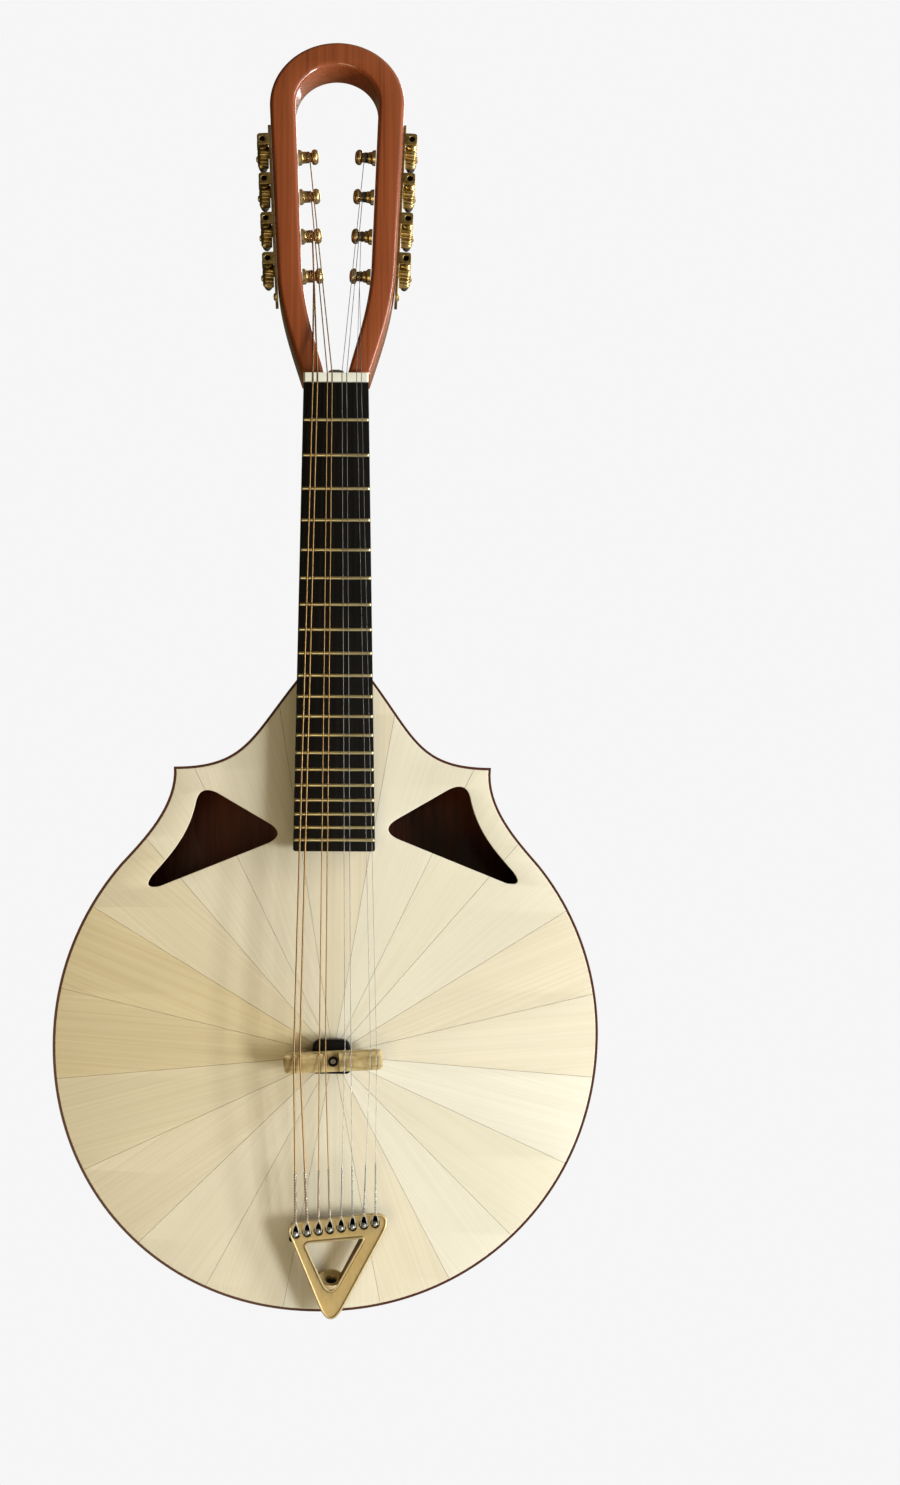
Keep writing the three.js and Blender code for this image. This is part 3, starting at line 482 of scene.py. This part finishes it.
def wedge(whole, number):
    """One wedge of the soundboard, cut from the whole between two seams, with its grain running outwards."""
    seam_gap = 0.08
    first, second = SEAM_ANGLES[number], SEAM_ANGLES[(number + 1) % len(SEAM_ANGLES)]
    second += 360 if second < first else 0
    work = bmesh.new()
    work.from_mesh(whole)
    centre = Vector((WEDGE_CENTRE[0], 0, WEDGE_CENTRE[1])) * MM
    for angle, turn in ((math.radians(first), 1), (math.radians(second), -1)):
        normal = Vector((-math.sin(angle), 0, math.cos(angle))) * turn
        parts = work.verts[:] + work.edges[:] + work.faces[:]
        point = centre + normal * seam_gap * MM
        bmesh.ops.bisect_plane(work, geom=parts, plane_co=point, plane_no=normal, clear_inner=True)
        open_edges = [edge for edge in work.edges if edge.is_boundary]
        bmesh.ops.holes_fill(work, edges=open_edges, sides=0)
    bmesh.ops.recalc_face_normals(work, faces=work.faces)
    middle = math.radians((first + second) / 2)
    outwards = Vector((math.cos(middle), 0, math.sin(middle)))
    across = Vector((-math.sin(middle), 0, math.cos(middle)))
    for layer in work.loops.layers.uv.values():
        work.loops.layers.uv.remove(layer)
    grain = work.loops.layers.uv.new("grain")
    own_place = GRAIN_STEP * number
    for face in work.faces:
        for corner in face.loops:
            offset = corner.vert.co - centre
            corner[grain].uv = (offset.dot(outwards) + own_place, offset.dot(across) + own_place)
    mesh = bpy.data.meshes.new("wedge")
    work.to_mesh(mesh)
    work.free()
    tint = mesh.attributes.new("tint", "FLOAT", "POINT")
    # Painted shade: the cosine term makes wedges towards the left, away from the light, tanner; the listed
    # wedges add their own tan.
    amount = 0.26 - 0.2 * math.cos(middle) + TANNER_WEDGES.get(number, random.uniform(-0.1, 0.12))
    tint.data.foreach_set("value", [amount] * len(mesh.vertices))
    return mesh


def strip_along(loop, width, front, back):
    """A band of this width just inside a closed outline."""
    inner = inset(loop, width)
    rings = []
    for (x, z), (u, w) in zip(loop, inner):
        rings.append([(x, front, z), (x, back, z), (u, back, w), (u, front, w)])
    return skin(rings, closed=True)


def make_body():
    outline = body_outline()
    holes = [sound_hole(1), sound_hole(-1)]
    face = FRONT @ shift(z=-PLATE / 2)
    whole = plate([inset(outline, BINDING)] + holes, PLATE, 0.35, face)
    for number in range(len(SEAM_ANGLES)):
        made = add(f"soundboard_wedge_{number + 1}", wedge(whole, number), "top")
        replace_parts(made, "soundboard")
    binding = add("binding_front", strip_along(outline, BINDING - 0.03, 0.15, PLATE), "rim")
    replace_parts(binding, "soundboard")
    shell = add("rims", strip_along(outline, RIM, PLATE, BODY_DEPTH - PLATE), "rim")
    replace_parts(shell, "rim_left", "rim_right")
    back_face = shift(y=BODY_DEPTH - PLATE / 2) @ FRONT
    for side, word in ((1, "right"), (-1, "left")):
        half = [(0.03, BODY["top_z"])] + body_half() + [(0.03, BODY["centre_z"] - BODY["radius"])]
        half = askew([(side * x, y) for x, y in half])
        made = add(f"back_half_{word}", plate([half], PLATE, 0.5, back_face), "back")
        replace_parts(made, "back_plate")


def dress_cad_nodes():
    """The hidden wood and the riser keep their CAD shape and get their finish. The inside finish is painted
    shade.
    """
    looks = {"inside": ("lining_front_left", "lining_front_right", "lining_back_left", "lining_back_right",
                        "neck_block", "tail_block", "board_riser"),
             "spruce": ("top_brace_upper", "top_brace_lower", "back_brace_upper", "back_brace_lower")}
    for look, names in looks.items():
        for name in names:
            mesh = frame["nodes"][name].data
            mesh.materials.clear()
            mesh.materials.append(LOOKS[look][0])


# ---------- Neck, fretboard and nut ----------


def board_half(z):
    return BOARD["nut_half"] + (BOARD["end_half"] - BOARD["nut_half"]) * -z / BOARD["length"]


def neck_back(z):
    along = z / NECK["heel_start"]
    level = NECK["nut_back"] + (NECK["heel_back"] - NECK["nut_back"]) * along
    t = min(1, max(0, (NECK["heel_start"] - z) / (NECK["heel_start"] - NECK["end_z"] - 12)))
    down = t * t * (3 - 2 * t)
    return level + (NECK["heel_end"] - level) * min(1, down * 1.12)


def neck_ring(z, leaning=False):
    ring = []
    for i in range(33):
        angle = math.pi * i / 32
        x = board_half(min(z, 0)) * math.cos(angle)
        y = BOARD["under"] + (neck_back(z) - BOARD["under"]) * math.sin(angle)
        joint = HEAD_ORIGIN[2] - 0.05 - (y - HEAD_ORIGIN[1]) * math.tan(HEAD_TILT)
        ring.append((x, y, joint if leaning else z))
    return ring


def make_neck():
    first, step = -8, 2.4
    count = math.ceil((first - NECK["end_z"]) / step)
    heights = [first - i * step for i in range(count)] + [NECK["end_z"]]
    rings = [neck_ring(0, True)] + [neck_ring(z) for z in heights]
    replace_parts(add("neck_shaft", skin(rings), "mahogany", sharp=50), "neck")


def fret_wire(z):
    """A half-round wire across the board, lower towards its ends."""
    wide = board_half(z) - 0.15
    high, half_width, base = 0.98, 0.95, BOARD["face"] + 0.04
    left = [(-wide, 0.35), (-wide + 0.5, 0.85), (-wide + 1, 1)]
    right = [(wide - 1, 1), (wide - 0.5, 0.85), (wide, 0.35)]
    crown = [math.pi * i / 10 for i in range(11)]
    rings = []
    for x, size in left + right:
        rings.append([(x, base - high * size * math.sin(a), z + half_width * math.cos(a)) for a in crown])
    return skin(rings)


def make_board():
    half, end, length = BOARD["nut_half"], BOARD["end_half"], BOARD["length"]
    corners = [(half, 0), (-half, 0), (-end, -length), (end, -length)]
    middle = (BOARD["face"] + BOARD["under"]) / 2
    thickness = BOARD["under"] - BOARD["face"]
    board = plate([rounded(corners, [0.3, 0.3, 1.6, 1.6])], thickness, 0.3, shift(y=middle) @ FRONT)
    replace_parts(add("board", board, "ebony"), "fretboard")
    for number in range(1, FRETS + 1):
        z = -SCALE_LENGTH * (1 - 2 ** (-number / 12))
        fret = add(f"fret_{number}", fret_wire(z), "fret", sharp=60)
        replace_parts(fret, "fretboard")


def string_x(index, course, pair, offset):
    return (index // 2 - 1.5) * course + (pair / 2 if index % 2 else -pair / 2) + offset


def nut_x(index):
    return string_x(index, NUT_COURSE, NUT_PAIR, NUT_OFFSET)


def make_nut():
    half, top = BOARD["nut_half"] - 0.05, NUT["top"]
    outline = [(half, BOARD["under"]), (half, top + 0.9), (half - 0.9, top)]
    for index in reversed(range(len(STRINGS))):
        x, radius = nut_x(index), STRINGS[index][1] + 0.04
        outline += [(x + radius, top), (x + radius, NUT_STRING_Y)]
        outline += arc((x, NUT_STRING_Y), radius, 0, math.pi, 6)[1:-1]
        outline += [(x - radius, NUT_STRING_Y), (x - radius, top)]
    outline += [(-half + 0.9, top), (-half, top + 0.9), (-half, BOARD["under"])]
    bar = plate([outline], NUT["thickness"] - 0.04, 0.04, shift(z=NUT["thickness"] / 2))
    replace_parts(add("nut_bar", bar, "bone"), "nut")


def make_truss_rod():
    """A rod in the neck, with a six-sided nut behind the string nut."""
    place = shift(y=-1.5)
    rod = add("truss_bar", lathe([(2.4, -148), (2.4, HEAD_ORIGIN[2])], place, 20), "steel")
    nut = add("truss_nut", lathe([(3.4, 5.25), (4.15, 5.8), (4.15, 7.4), (3.4, 7.95)], place, 6), "steel")
    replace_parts(rod, "truss_rod")
    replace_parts(nut, "truss_rod")


# ---------- Head and tuners ----------


def arm_edge(radius, lean, y):
    return radius * math.cos(lean) - (HEAD["arch_y"] - radius * math.sin(lean) - y) * math.tan(lean)


def arm_outer(y):
    return arm_edge(HEAD["outer"], OUTER_LEAN, y)


def arm_inner(y):
    return arm_edge(HEAD["inner"], INNER_LEAN, y)


def head_outline():
    bend, centre = HEAD["bend_y"], (0, HEAD["arch_y"])
    outer = bezier([(18.2, 0), (24.4, 20), (31.1, 40), (arm_outer(bend), bend)], 24)
    outer += arc(centre, HEAD["outer"], -OUTER_LEAN, math.pi + OUTER_LEAN, 64)
    inner = bezier([(6, 0), (10.2, 18), (17.5, 38), (arm_inner(bend), bend)], 24)
    inner += arc(centre, HEAD["inner"], -INNER_LEAN, math.pi / 2, 28)
    inner = [(6, 0)] + inner
    left_side = mirrored(([(18.2, 0)] + outer[:24])[::-1])
    return [(18.2, 0)] + outer + left_side + mirrored(inner) + inner[::-1][1:]


def make_head():
    thickness = HEAD["thickness"]
    mesh = plate([head_outline()], thickness, 2.4, HEAD_PLACE @ shift(z=-thickness / 2), steps=5)
    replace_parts(add("head_loop", mesh, "head", sharp=50), "headstock_loop")


def row_place(side):
    """The place of a row of tuners: x outwards to the right, y up the arm, z out of the head's face."""
    lean = Matrix.Rotation(-side * OUTER_LEAN, 4, "Z")
    return HEAD_PLACE @ shift(side * arm_outer(MIDDLE_Y), MIDDLE_Y, 0) @ lean


def post_y(index):
    return (index - 1.5) * PITCH


def gear(place, side):
    """A gear about x: fourteen slanting teeth on a barrel whose outer end is rounded."""
    around = TEETH * 8
    slant = THREAD_PITCH / (2 * math.pi * WORM_MEAN) / (THREAD_PITCH * TEETH / (2 * math.pi))
    rings = []
    half, steps = 3.0, 14
    for step in range(steps + 1):
        x = half * (2 * step / steps - 1)
        outwards = side * x / half
        barrel = 1 - 0.3 * max(0, outwards) ** 3 - 0.06 * max(0, -outwards) ** 4
        ring = []
        for i in range(around):
            angle = 2 * math.pi * i / around
            wave = math.cos(TEETH * angle + math.pi)
            radius = (GEAR_MEAN + TOOTH * wave * (1.3 if wave < 0 else 1)) * barrel
            turned = angle - math.pi / (2 * TEETH) + x * slant
            ring.append((x, radius * math.cos(turned), radius * math.sin(turned)))
        rings.append(ring)
    return skin(rings, place)


def worm(place):
    """Three turns of a right-handed thread on its shaft, along z."""
    around, steps = 28, 54
    turns = [2 * math.pi * i / around for i in range(around)]
    half, shaft = 1.5 * THREAD_PITCH, 1.38

    def plain(radius, z):
        return [(radius * math.cos(a), radius * math.sin(a), z) for a in turns]

    rings = [plain(1.1, 7.0), plain(shaft, 6.8), plain(shaft, half + 0.3)]
    for step in range(steps, -1, -1):
        z = -half + 2 * half * step / steps
        ring = []
        for a in turns:
            radius = WORM_MEAN + TOOTH * math.cos(a - 2 * math.pi * z / THREAD_PITCH)
            ring.append((radius * math.cos(a), radius * math.sin(a), z))
        rings.append(ring)
    rings += [plain(shaft, -half - 0.3), plain(shaft, -10)]
    return skin(rings, place)


def button(place):
    """A flat oval button with a narrow collar, its broad face in y and z."""
    profile = [(2.2, -10.1, 2.2), (2.4, -11, 2.4), (2.4, -11.9, 2.4), (3.6, -12.5, 2.6), (5.3, -13.8, 2.9),
               (6.4, -15.6, 3.1), (6.75, -17.2, 3.15), (6.5, -19, 3.1), (5.6, -20.7, 2.8), (4, -21.9, 2.1),
               (1.6, -22.45, 0.9)]
    rings = []
    for wide, z, thick in profile:
        angles = [2 * math.pi * i / 32 for i in range(32)]
        rings.append([(thick * math.cos(a), wide * math.sin(a), z) for a in angles])
    return skin(rings, place)


def ear(place, side):
    """One lug of the side plate, rounded at its outer corners, with a hole for the worm's shaft."""
    near, far, half = side * 0.95, side * 7.9, 3.45
    corners = [(near, -half), (far, -half), (far, half), (near, half)]
    radii = [0.3, 1.2, 1.9, 0.3]
    if side < 0:
        corners, radii = corners[::-1], radii[::-1]
    hole = arc((side * WORM_X, 0), 1.6, 0, 2 * math.pi, 24)[:-1]
    return plate([rounded(corners, radii), hole], 1.6, 0.22, place)


def windings(string, side, thickness, place):
    """The turns of a string round its post, from the front of the post towards the arm."""
    radius = string[1]
    turns = 3 if radius > 0.4 else 5
    about = POST_RADIUS + radius
    start = thickness + WINDING_REACH
    path = []
    for step in range(turns * 20 + 1):
        angle = math.pi / 2 - 2 * math.pi * step / 20
        x = -side * (start - 2.1 * radius * step / 20)
        path.append((x, about * math.cos(angle), about * math.sin(angle)))
    return tube(path, radius, place, 8)


def joint_centre(name):
    """A joint's place in the frame, in millimetres."""
    found = next(joint for joint in frame["joints"] if joint["name"] == name)
    return Vector(found["pos_m"]) / MM


def at_joint(name, row):
    """The row's directions, with the joint as origin."""
    return Matrix.Translation(joint_centre(name)) @ row.to_3x3().to_4x4()


def post_axis(side):
    """A drawing's x, y and z for a piece turned about the post, with its z pointing out of the arm."""
    if side > 0:
        return columns((0, 1, 0), (0, 0, 1), (1, 0, 0))
    return columns((0, 0, 1), (0, 1, 0), (-1, 0, 0))


def make_post(number, side, index, row):
    """A gear with its screw, and the string post behind it with the string's turns."""
    height = MIDDLE_Y + post_y(index)
    thickness = arm_outer(height) - arm_inner(height)
    body, roller = f"post_{number}", f"roller_{number}"
    place = at_joint(f"post_{number}_turn", row)
    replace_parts(add(f"gear_{number}", gear(place, side), "brass", body, sharp=60), roller)
    turned = place @ post_axis(side)
    inner = -(thickness + WORM_X)
    profile = [(0.8, -11.8), (2.5, -11.6), (3.5, -11.0), (4.1, -10.2), (4.25, -9.3), (4.1, -8.5),
               (3.5, -7.9), (POST_RADIUS, -7.6), (POST_RADIUS, -4.6), (3.2, -4.3), (3.2, -3.1),
               (3.5, -2.5), (4.25, -1.9), (4.35, -0.35)]
    post = lathe([(r, inner + z) for r, z in profile], turned)
    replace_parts(add(f"string_post_{number}", post, "brass", body), roller)
    screw = lathe([(1.7, 3.01), (1.7, 3.4), (1.3, 3.7), (0.4, 3.85)], turned, 24)
    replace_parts(add(f"gear_screw_{number}", screw, "brass", body), roller)
    string = next(s for s in STRINGS if s[2] == side and s[3] == index)
    coil = windings(string, side, thickness, place @ shift(-side * WORM_X))
    add(f"windings_{number}", coil, "bronze" if side < 0 else "steel", body)


def make_worm(number, row):
    """A worm with its button, and a ring in the ear's hole, near-black as painted shade. The body and its CAD
    node share a name.
    """
    both = f"worm_{number}"
    place = at_joint(f"worm_{number}_spin", row)
    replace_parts(add(f"thread_{number}", worm(place), "brass", both, sharp=60), both)
    # Painted shade: the ring at the shaft's end takes the near-black finish, standing for the dark hole in the
    # ear.
    tip = lathe([(1.2, 7.02), (2.3, 7.02), (2.3, 7.1), (1.4, 7.12), (1.4, 7.6), (0.9, 7.7)], place, 24)
    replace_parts(add(f"shaft_end_{number}", tip, "dark", both), both)
    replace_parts(add(f"knob_{number}", button(place), "knob", both, sharp=50), f"button_{number}")


def make_tuner(word, side, index):
    number = f"{word}_{index + 1}"
    row = row_place(side)
    make_post(number, side, index, row)
    make_worm(number, row)
    for end, z in (("front", -2.8), ("back", -18.7)):
        lug = row @ shift(0, post_y(index) + WORM_ABOVE, z)
        made = add(f"ear_{end}_{number}", ear(lug, side), "brass")
        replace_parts(made, f"tuner_plate_{word}")


def make_side_plate(word, side):
    """The plate along the arm's outside, with a hole behind each gear and a screw near each end."""
    row = row_place(side)
    half, low, high = PLATE_WIDTH / 2, PLATE_LOW, PLATE_HIGH
    corners = [(half, low), (half, high), (-half, high), (-half, low)]
    holes = [arc((0, post_y(index)), 3.3, 0, 2 * math.pi, 24)[:-1] for index in range(4)]
    drawn = columns((0, 0, 1), (0, 1, 0), (-1, 0, 0), (side * 0.85, 0, POST_Z))
    sheet = plate([rounded(corners, [5] * 4)] + holes, 1.6, 0.3, row @ drawn)
    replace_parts(add(f"side_plate_{word}", sheet, "brass"), f"tuner_plate_{word}")
    outwards = columns((0, side, 0), (0, 0, 1), (side, 0, 0))
    for number, y in enumerate((low + 5, high - 5)):
        place = row @ shift(side * 1.62, y, POST_Z) @ outwards
        profile = [(2.1, 0), (2.1, 0.35), (1.6, 0.8), (0.5, 1.0)]
        made = add(f"plate_screw_{word}_{number + 1}", lathe(profile, place, 24), "brass")
        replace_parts(made, f"tuner_plate_{word}")


# ---------- Bridge ----------


def saddle_top(x, z):
    """The height of the saddle's top: highest at its ridge, flat in the pocket, grooved at the strings."""
    half = SADDLE["width"] / 2
    slope = SADDLE["low"] + (SADDLE["ridge"] - SADDLE["low"]) * (z + half) / (SADDLE["ridge_at"] + half)
    top = slope if z <= SADDLE["ridge_at"] else SADDLE["ridge"] + (z - SADDLE["ridge_at"])
    top += 0.5 * max(0, -z - 4.6) ** 2
    if abs(x) < 3.3:
        return max(top, SADDLE["pocket"])
    for index, (_, radius, _, _) in enumerate(STRINGS):
        away = x - bridge_x(index)
        if abs(away) < radius + 0.25:
            top += 0.22 * (1 - abs(away) / (radius + 0.25))
    return top


def bridge_x(index):
    return string_x(index, BRIDGE_COURSE, BRIDGE_PAIR, BRIDGE_OFFSET)


def make_saddle():
    half, wide, corner = SADDLE["length"] / 2, SADDLE["width"] / 2, 2.6
    stations = {round(-half + half * i / 60, 3) for i in range(121)}
    stations |= {-half + corner * (1 - math.cos(math.pi * i / 16)) for i in range(1, 9)}
    stations |= {half - corner * (1 - math.cos(math.pi * i / 16)) for i in range(1, 9)}
    stations |= {-3.301, -3.299, 3.299, 3.301}
    stations |= {bridge_x(i) + d for i in range(len(STRINGS)) for d in (-0.5, -0.2, 0, 0.2, 0.5)}
    rings = []
    for x in sorted(stations):
        into = max(0, corner - (half - abs(x)))
        narrow = wide - corner + math.sqrt(max(0.01, corner ** 2 - into ** 2))
        across = [-1 + 2 * i / 22 for i in range(23)]
        ring = [(x, SADDLE["under"], t * narrow) for t in (1, 0.5, 0, -0.5, -1)]
        ring += [(x, saddle_top(x, t * narrow) + 0.1 * into ** 2, t * narrow) for t in across]
        rings.append(ring)
    turn = shift(z=SADDLE["z"]) @ Matrix.Rotation(-SKEW, 4, "Y")
    made = add("saddle_bar", skin(rings, turn), "maple", "saddle", sharp=40)
    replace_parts(made, "bridge_saddle")


def make_bridge():
    x, z, centre, top = BRIDGE["width"] / 2, BRIDGE["length"] / 2, BRIDGE["centre_z"], BRIDGE["top"]
    corners = [(-x, centre - z), (x, centre - z), (x, centre + z), (-x, centre + z)]
    place = shift(BRIDGE["centre_x"], top / 2) @ FRONT
    block = plate([rounded(corners, [2.6, 2.6, 5.2, 5.2])], -top - 0.04, 1.5, place, 5)
    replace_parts(add("bridge_block", block, "ebony"), "bridge_base")
    make_saddle()
    floor = -SADDLE["pocket"] + 0.06
    facing = shift(z=SADDLE["z"]) @ FRONT
    socket = arc((0, 0), 1.45, 0, 2 * math.pi, 6)[:-1]
    rim = arc((0, 0), 2.7, 0, 2 * math.pi, 40)[:-1]
    ring = plate([rim, socket], 2.1, 0.35, facing @ shift(z=floor + 1.05))
    head = add("screw_head", ring, "black")
    recess = [(1.42, floor), (1.42, floor + 0.9), (0.75, floor + 0.9), (0.7, floor + 0.3)]
    bottom = add("screw_socket", lathe(recess, facing, 6), "steel")
    for made in (head, bottom):
        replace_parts(made, "bridge_screw")


# ---------- Tailpiece ----------


def pin_place(index):
    return FIRST_PIN.lerp(LAST_PIN, index / (len(STRINGS) - 1))


def teardrop(index):
    """The slot a string's ball sits in: round below, pointed towards the bridge."""
    x, z = pin_place(index)
    radius, tip = 2.35, 4.8
    swing = math.acos(radius / tip)
    return [(x, z + tip)] + arc((x, z), radius, math.pi / 2 + swing, 5 * math.pi / 2 - swing, 24)


def window_wall(loop):
    """The wall behind the window's edge: upright on the left, and sloping inwards on the right."""
    left = min(x for x, _ in loop)
    back = -3.4
    rings = []
    for (x, z), (u, w) in zip(inset(loop, -0.15), inset(loop, -0.9)):
        slope = 0.06 * (x - left)
        near = [(x, TAIL_FRONT + 0.3, z), (x - slope, back, z)]
        far = [(u - slope, back, w), (u, TAIL_FRONT + 0.9, w)]
        rings.append(near + far)
    return skin(rings, closed=True)


def make_tailpiece():
    outer = rounded(TAIL_CORNERS, TAIL_RADII, 12)
    window = rounded(WINDOW_CORNERS, WINDOW_RADII, 12)
    inner = window[::-1]
    thickness = TAIL_BACK - TAIL_FRONT
    place = shift(y=(TAIL_FRONT + TAIL_BACK) / 2) @ FRONT
    slots = [teardrop(index) for index in range(len(STRINGS))]
    pieces = [add("tail_plate", plate([outer, window] + slots, thickness, 0.4, place), "gold")]
    lip_y = TAIL_FRONT - 0.05
    for name, loop, depth in (("outer", outer, 0.75), ("window", inner, -0.75)):
        line = [(x, lip_y, z) for x, z in inset(loop, depth)]
        pieces.append(add(f"tail_lip_{name}", tube(line, 0.62, closed=True), "gold"))
    # The window's wall takes the darker gold as painted shade.
    pieces.append(add("tail_window_wall", window_wall(inner), "gold_painted_shade"))
    # The ledge behind the ball slots is near-black as painted shade seen through them.
    seat = rounded([(-23.5, -459.2), (26.8, -452.6), (27.6, -443.8), (-22.2, -450.6)], [2] * 4)
    behind = shift(y=TAIL_BACK + 0.75) @ FRONT
    pieces.append(add("tail_ball_seat_painted_shade", plate([seat], 1.3, 0.3, behind), "dark"))
    for made in pieces:
        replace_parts(made, "tailpiece")


def make_tail_bolt():
    """The sloping cup in the window's lower corner, and the bolt in it."""
    tilt = math.radians(58)
    axis = Vector((0, math.cos(tilt), -math.sin(tilt)))
    cup = columns((1, 0, 0), (0, math.sin(tilt), math.cos(tilt)), -axis, (-0.5, -5.5, -478.3))
    profile = [(7.2, -4.5), (7.2, -0.4), (6.8, 0.3), (6.1, 0.3), (5.6, -0.2), (3.3, -0.9), (2.9, -1.7),
               (2.9, -4.2)]
    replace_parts(add("tail_cup", lathe(profile, cup, 48), "gold"), "tailpiece")
    bolt = [(1.6, -4.4), (2.85, -4.3), (2.85, -2.9), (2.3, -2.4), (0.8, -2.2)]
    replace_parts(add("tail_bolt", lathe(bolt, cup, 32), "black"), "tailpiece_bolt")


def make_ball_ends():
    radius = 1.5
    angles = [math.pi * i / 14 for i in range(1, 14)]
    for index, (name, _, _, _) in enumerate(STRINGS):
        x, z = pin_place(index)
        turned = [(radius * math.sin(a), -radius * math.cos(a)) for a in angles]
        ball = lathe(turned, shift(x, TAIL_FRONT - 0.55, z), 28)
        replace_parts(add(f"ball_{name}", ball, "silver"), "tailpiece")


# ---------- Strings ----------


def string_end(string):
    """Where a string meets its post: the front of the winding zone."""
    _, radius, side, index = string
    height = MIDDLE_Y + post_y(index)
    reach = arm_outer(height) - arm_inner(height) + WINDING_REACH
    return row_place(side) @ Vector((-side * reach, post_y(index), POST_Z + POST_RADIUS + radius + 0.05))


def make_string(index):
    string = STRINGS[index]
    name, radius, _, _ = string
    x, z = pin_place(index)
    start = Vector((x, -12.3, z + 7))
    ridge = Vector((bridge_x(index), SADDLE["ridge"] - radius - 0.03,
                    SADDLE["z"] + SADDLE["ridge_at"] + bridge_x(index) * math.tan(SKEW)))
    path = [start, ridge, Vector((nut_x(index), NUT_STRING_Y, 0)),
            Vector((nut_x(index), NUT_STRING_Y, NUT["thickness"])), string_end(string)]
    look = "bronze" if index < 4 else "steel"
    made = add(f"string_{name}_wire", tube(path, radius, sides=12), look)
    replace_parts(made, f"string_{name}")
    add_loop(index, start, ridge, radius)


def add_loop(index, start, ridge, radius):
    """The end of a string: it goes round its ball and is twisted back on itself."""
    x, z = pin_place(index)
    thin = max(0.22, radius * 0.6)
    name = STRINGS[index][0]
    for strand, side in (("one", -1), ("two", 1)):
        path = []
        for step in range(9):
            t = step / 8
            wide = side * 1.75 * math.cos(t * math.pi / 2) ** 0.8
            path.append((x + wide, TAIL_FRONT - 0.9 - 0.9 * t, z - 0.4 + 7.2 * t))
        along = (ridge - start).normalized()
        turns, steps = 9, 90
        for step in range(1, steps + 1):
            t = step / steps
            angle = side * math.pi / 2 + 2 * math.pi * turns * t
            about = radius + thin * 0.7
            centre = start + along * 26 * t
            path.append(centre + Vector((about * math.cos(angle), about * math.sin(angle), 0)))
        made = add(f"loop_{strand}_{name}", tube(path, thin, sides=6), "silver")
        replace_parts(made, f"string_{name}")


# ---------- Stage ----------


def make_floor():
    """A round pale floor, well below the hanging instrument."""
    radius, top = 430, -708
    turned = lathe([(radius, top - 12), (radius, top - 4), (radius - 6, top)], Matrix.Identity(4), 96)
    material = surface("pale_floor", "fafaf9", "f6f6f5", (300, 300, 300), 0.9, bump=0.02, specular=0.1,
                       clouds=(8.0, 0.98))
    floor = bpy.data.objects.new("floor", turned)
    turned.materials.append(material)
    bpy.context.scene.collection.objects.link(floor)


def area_light(name, place, target, size, power, shade="ffffff"):
    data = bpy.data.lights.new(name, "AREA")
    data.shape = "RECTANGLE"
    data.size, data.size_y = size
    data.energy = power
    data.color = colour(shade)[:3]
    light = bpy.data.objects.new(name, data)
    bpy.context.scene.collection.objects.link(light)
    aim = (Vector(target) - Vector(place)).to_track_quat("-Z", "Y").to_matrix().to_4x4()
    light.matrix_world = Matrix.Translation(place) @ aim


def make_world():
    """A white surrounding to the camera, and a dimmer one, brighter at the right, as the object's light."""
    world = bpy.data.worlds.new("studio")
    world.use_nodes = True
    tree = world.node_tree
    tree.nodes.clear()
    direction = node(tree, "ShaderNodeTexCoord").outputs["Generated"]
    aside = node(tree, "ShaderNodeVectorMath", {0: direction, 1: (0.97, -0.05, 0.1)}, operation="DOT_PRODUCT")
    rightness = node(tree, "ShaderNodeMapRange", {"Value": aside.outputs["Value"], "From Min": -1.0})
    sky = ramp(tree, rightness.outputs[0], [(0.3, "4a412c"), (0.55, "8a7d60"), (0.95, "fdf6e8")])
    lit = node(tree, "ShaderNodeBackground", {"Color": sky, "Strength": 0.62}).outputs[0]
    seen = node(tree, "ShaderNodeBackground", {"Color": colour("f6f6f6"), "Strength": 1.0}).outputs[0]
    camera_ray = node(tree, "ShaderNodeLightPath").outputs["Is Camera Ray"]
    blended = node(tree, "ShaderNodeMixShader", {0: camera_ray, 1: lit, 2: seen}).outputs[0]
    node(tree, "ShaderNodeOutputWorld", {"Surface": blended})
    bpy.context.scene.world = world


def make_camera():
    """Square on to the front from 1.5 m, turned by a quarter of a degree, with its picture shifted."""
    data = bpy.data.cameras.new("camera")
    data.lens = 68.25
    data.sensor_width = 36
    data.shift_x = 0.078
    data.shift_y = 0.0481
    camera = bpy.data.objects.new("camera", data)
    bpy.context.scene.collection.objects.link(camera)
    level = Matrix.Rotation(math.pi / 2, 4, "X") @ Matrix.Rotation(math.radians(0.25), 4, "Z")
    camera.matrix_world = Matrix.Translation((0, -1.512, -0.230)) @ level
    bpy.context.scene.camera = camera


def make_stage():
    make_floor()
    make_world()
    make_camera()
    area_light("key", (1.5, -1.15, -0.7), (0, 0, -0.25), (0.4, 0.6), 30, "f6fbff")
    area_light("right_strip", (1.3, -0.55, 0.1), (0, 0, 0), (0.12, 1.6), 14)
    area_light("fill", (-0.5, -1.6, -0.9), (0, 0, -0.2), (1.0, 1.0), 7, "ffecc0")
    area_light("back", (0.9, 1.4, 0.6), (0, 0, -0.3), (0.8, 0.8), 9)
    bpy.context.scene.view_settings.view_transform = "Standard"


make_body()
dress_cad_nodes()
make_neck()
make_board()
make_nut()
make_truss_rod()
make_head()
for row_word, row_side in (("left", -1), ("right", 1)):
    make_side_plate(row_word, row_side)
    for row_index in range(4):
        make_tuner(row_word, row_side, row_index)
make_bridge()
make_tailpiece()
make_tail_bolt()
make_ball_ends()
for string_index in range(len(STRINGS)):
    make_string(string_index)
make_stage()
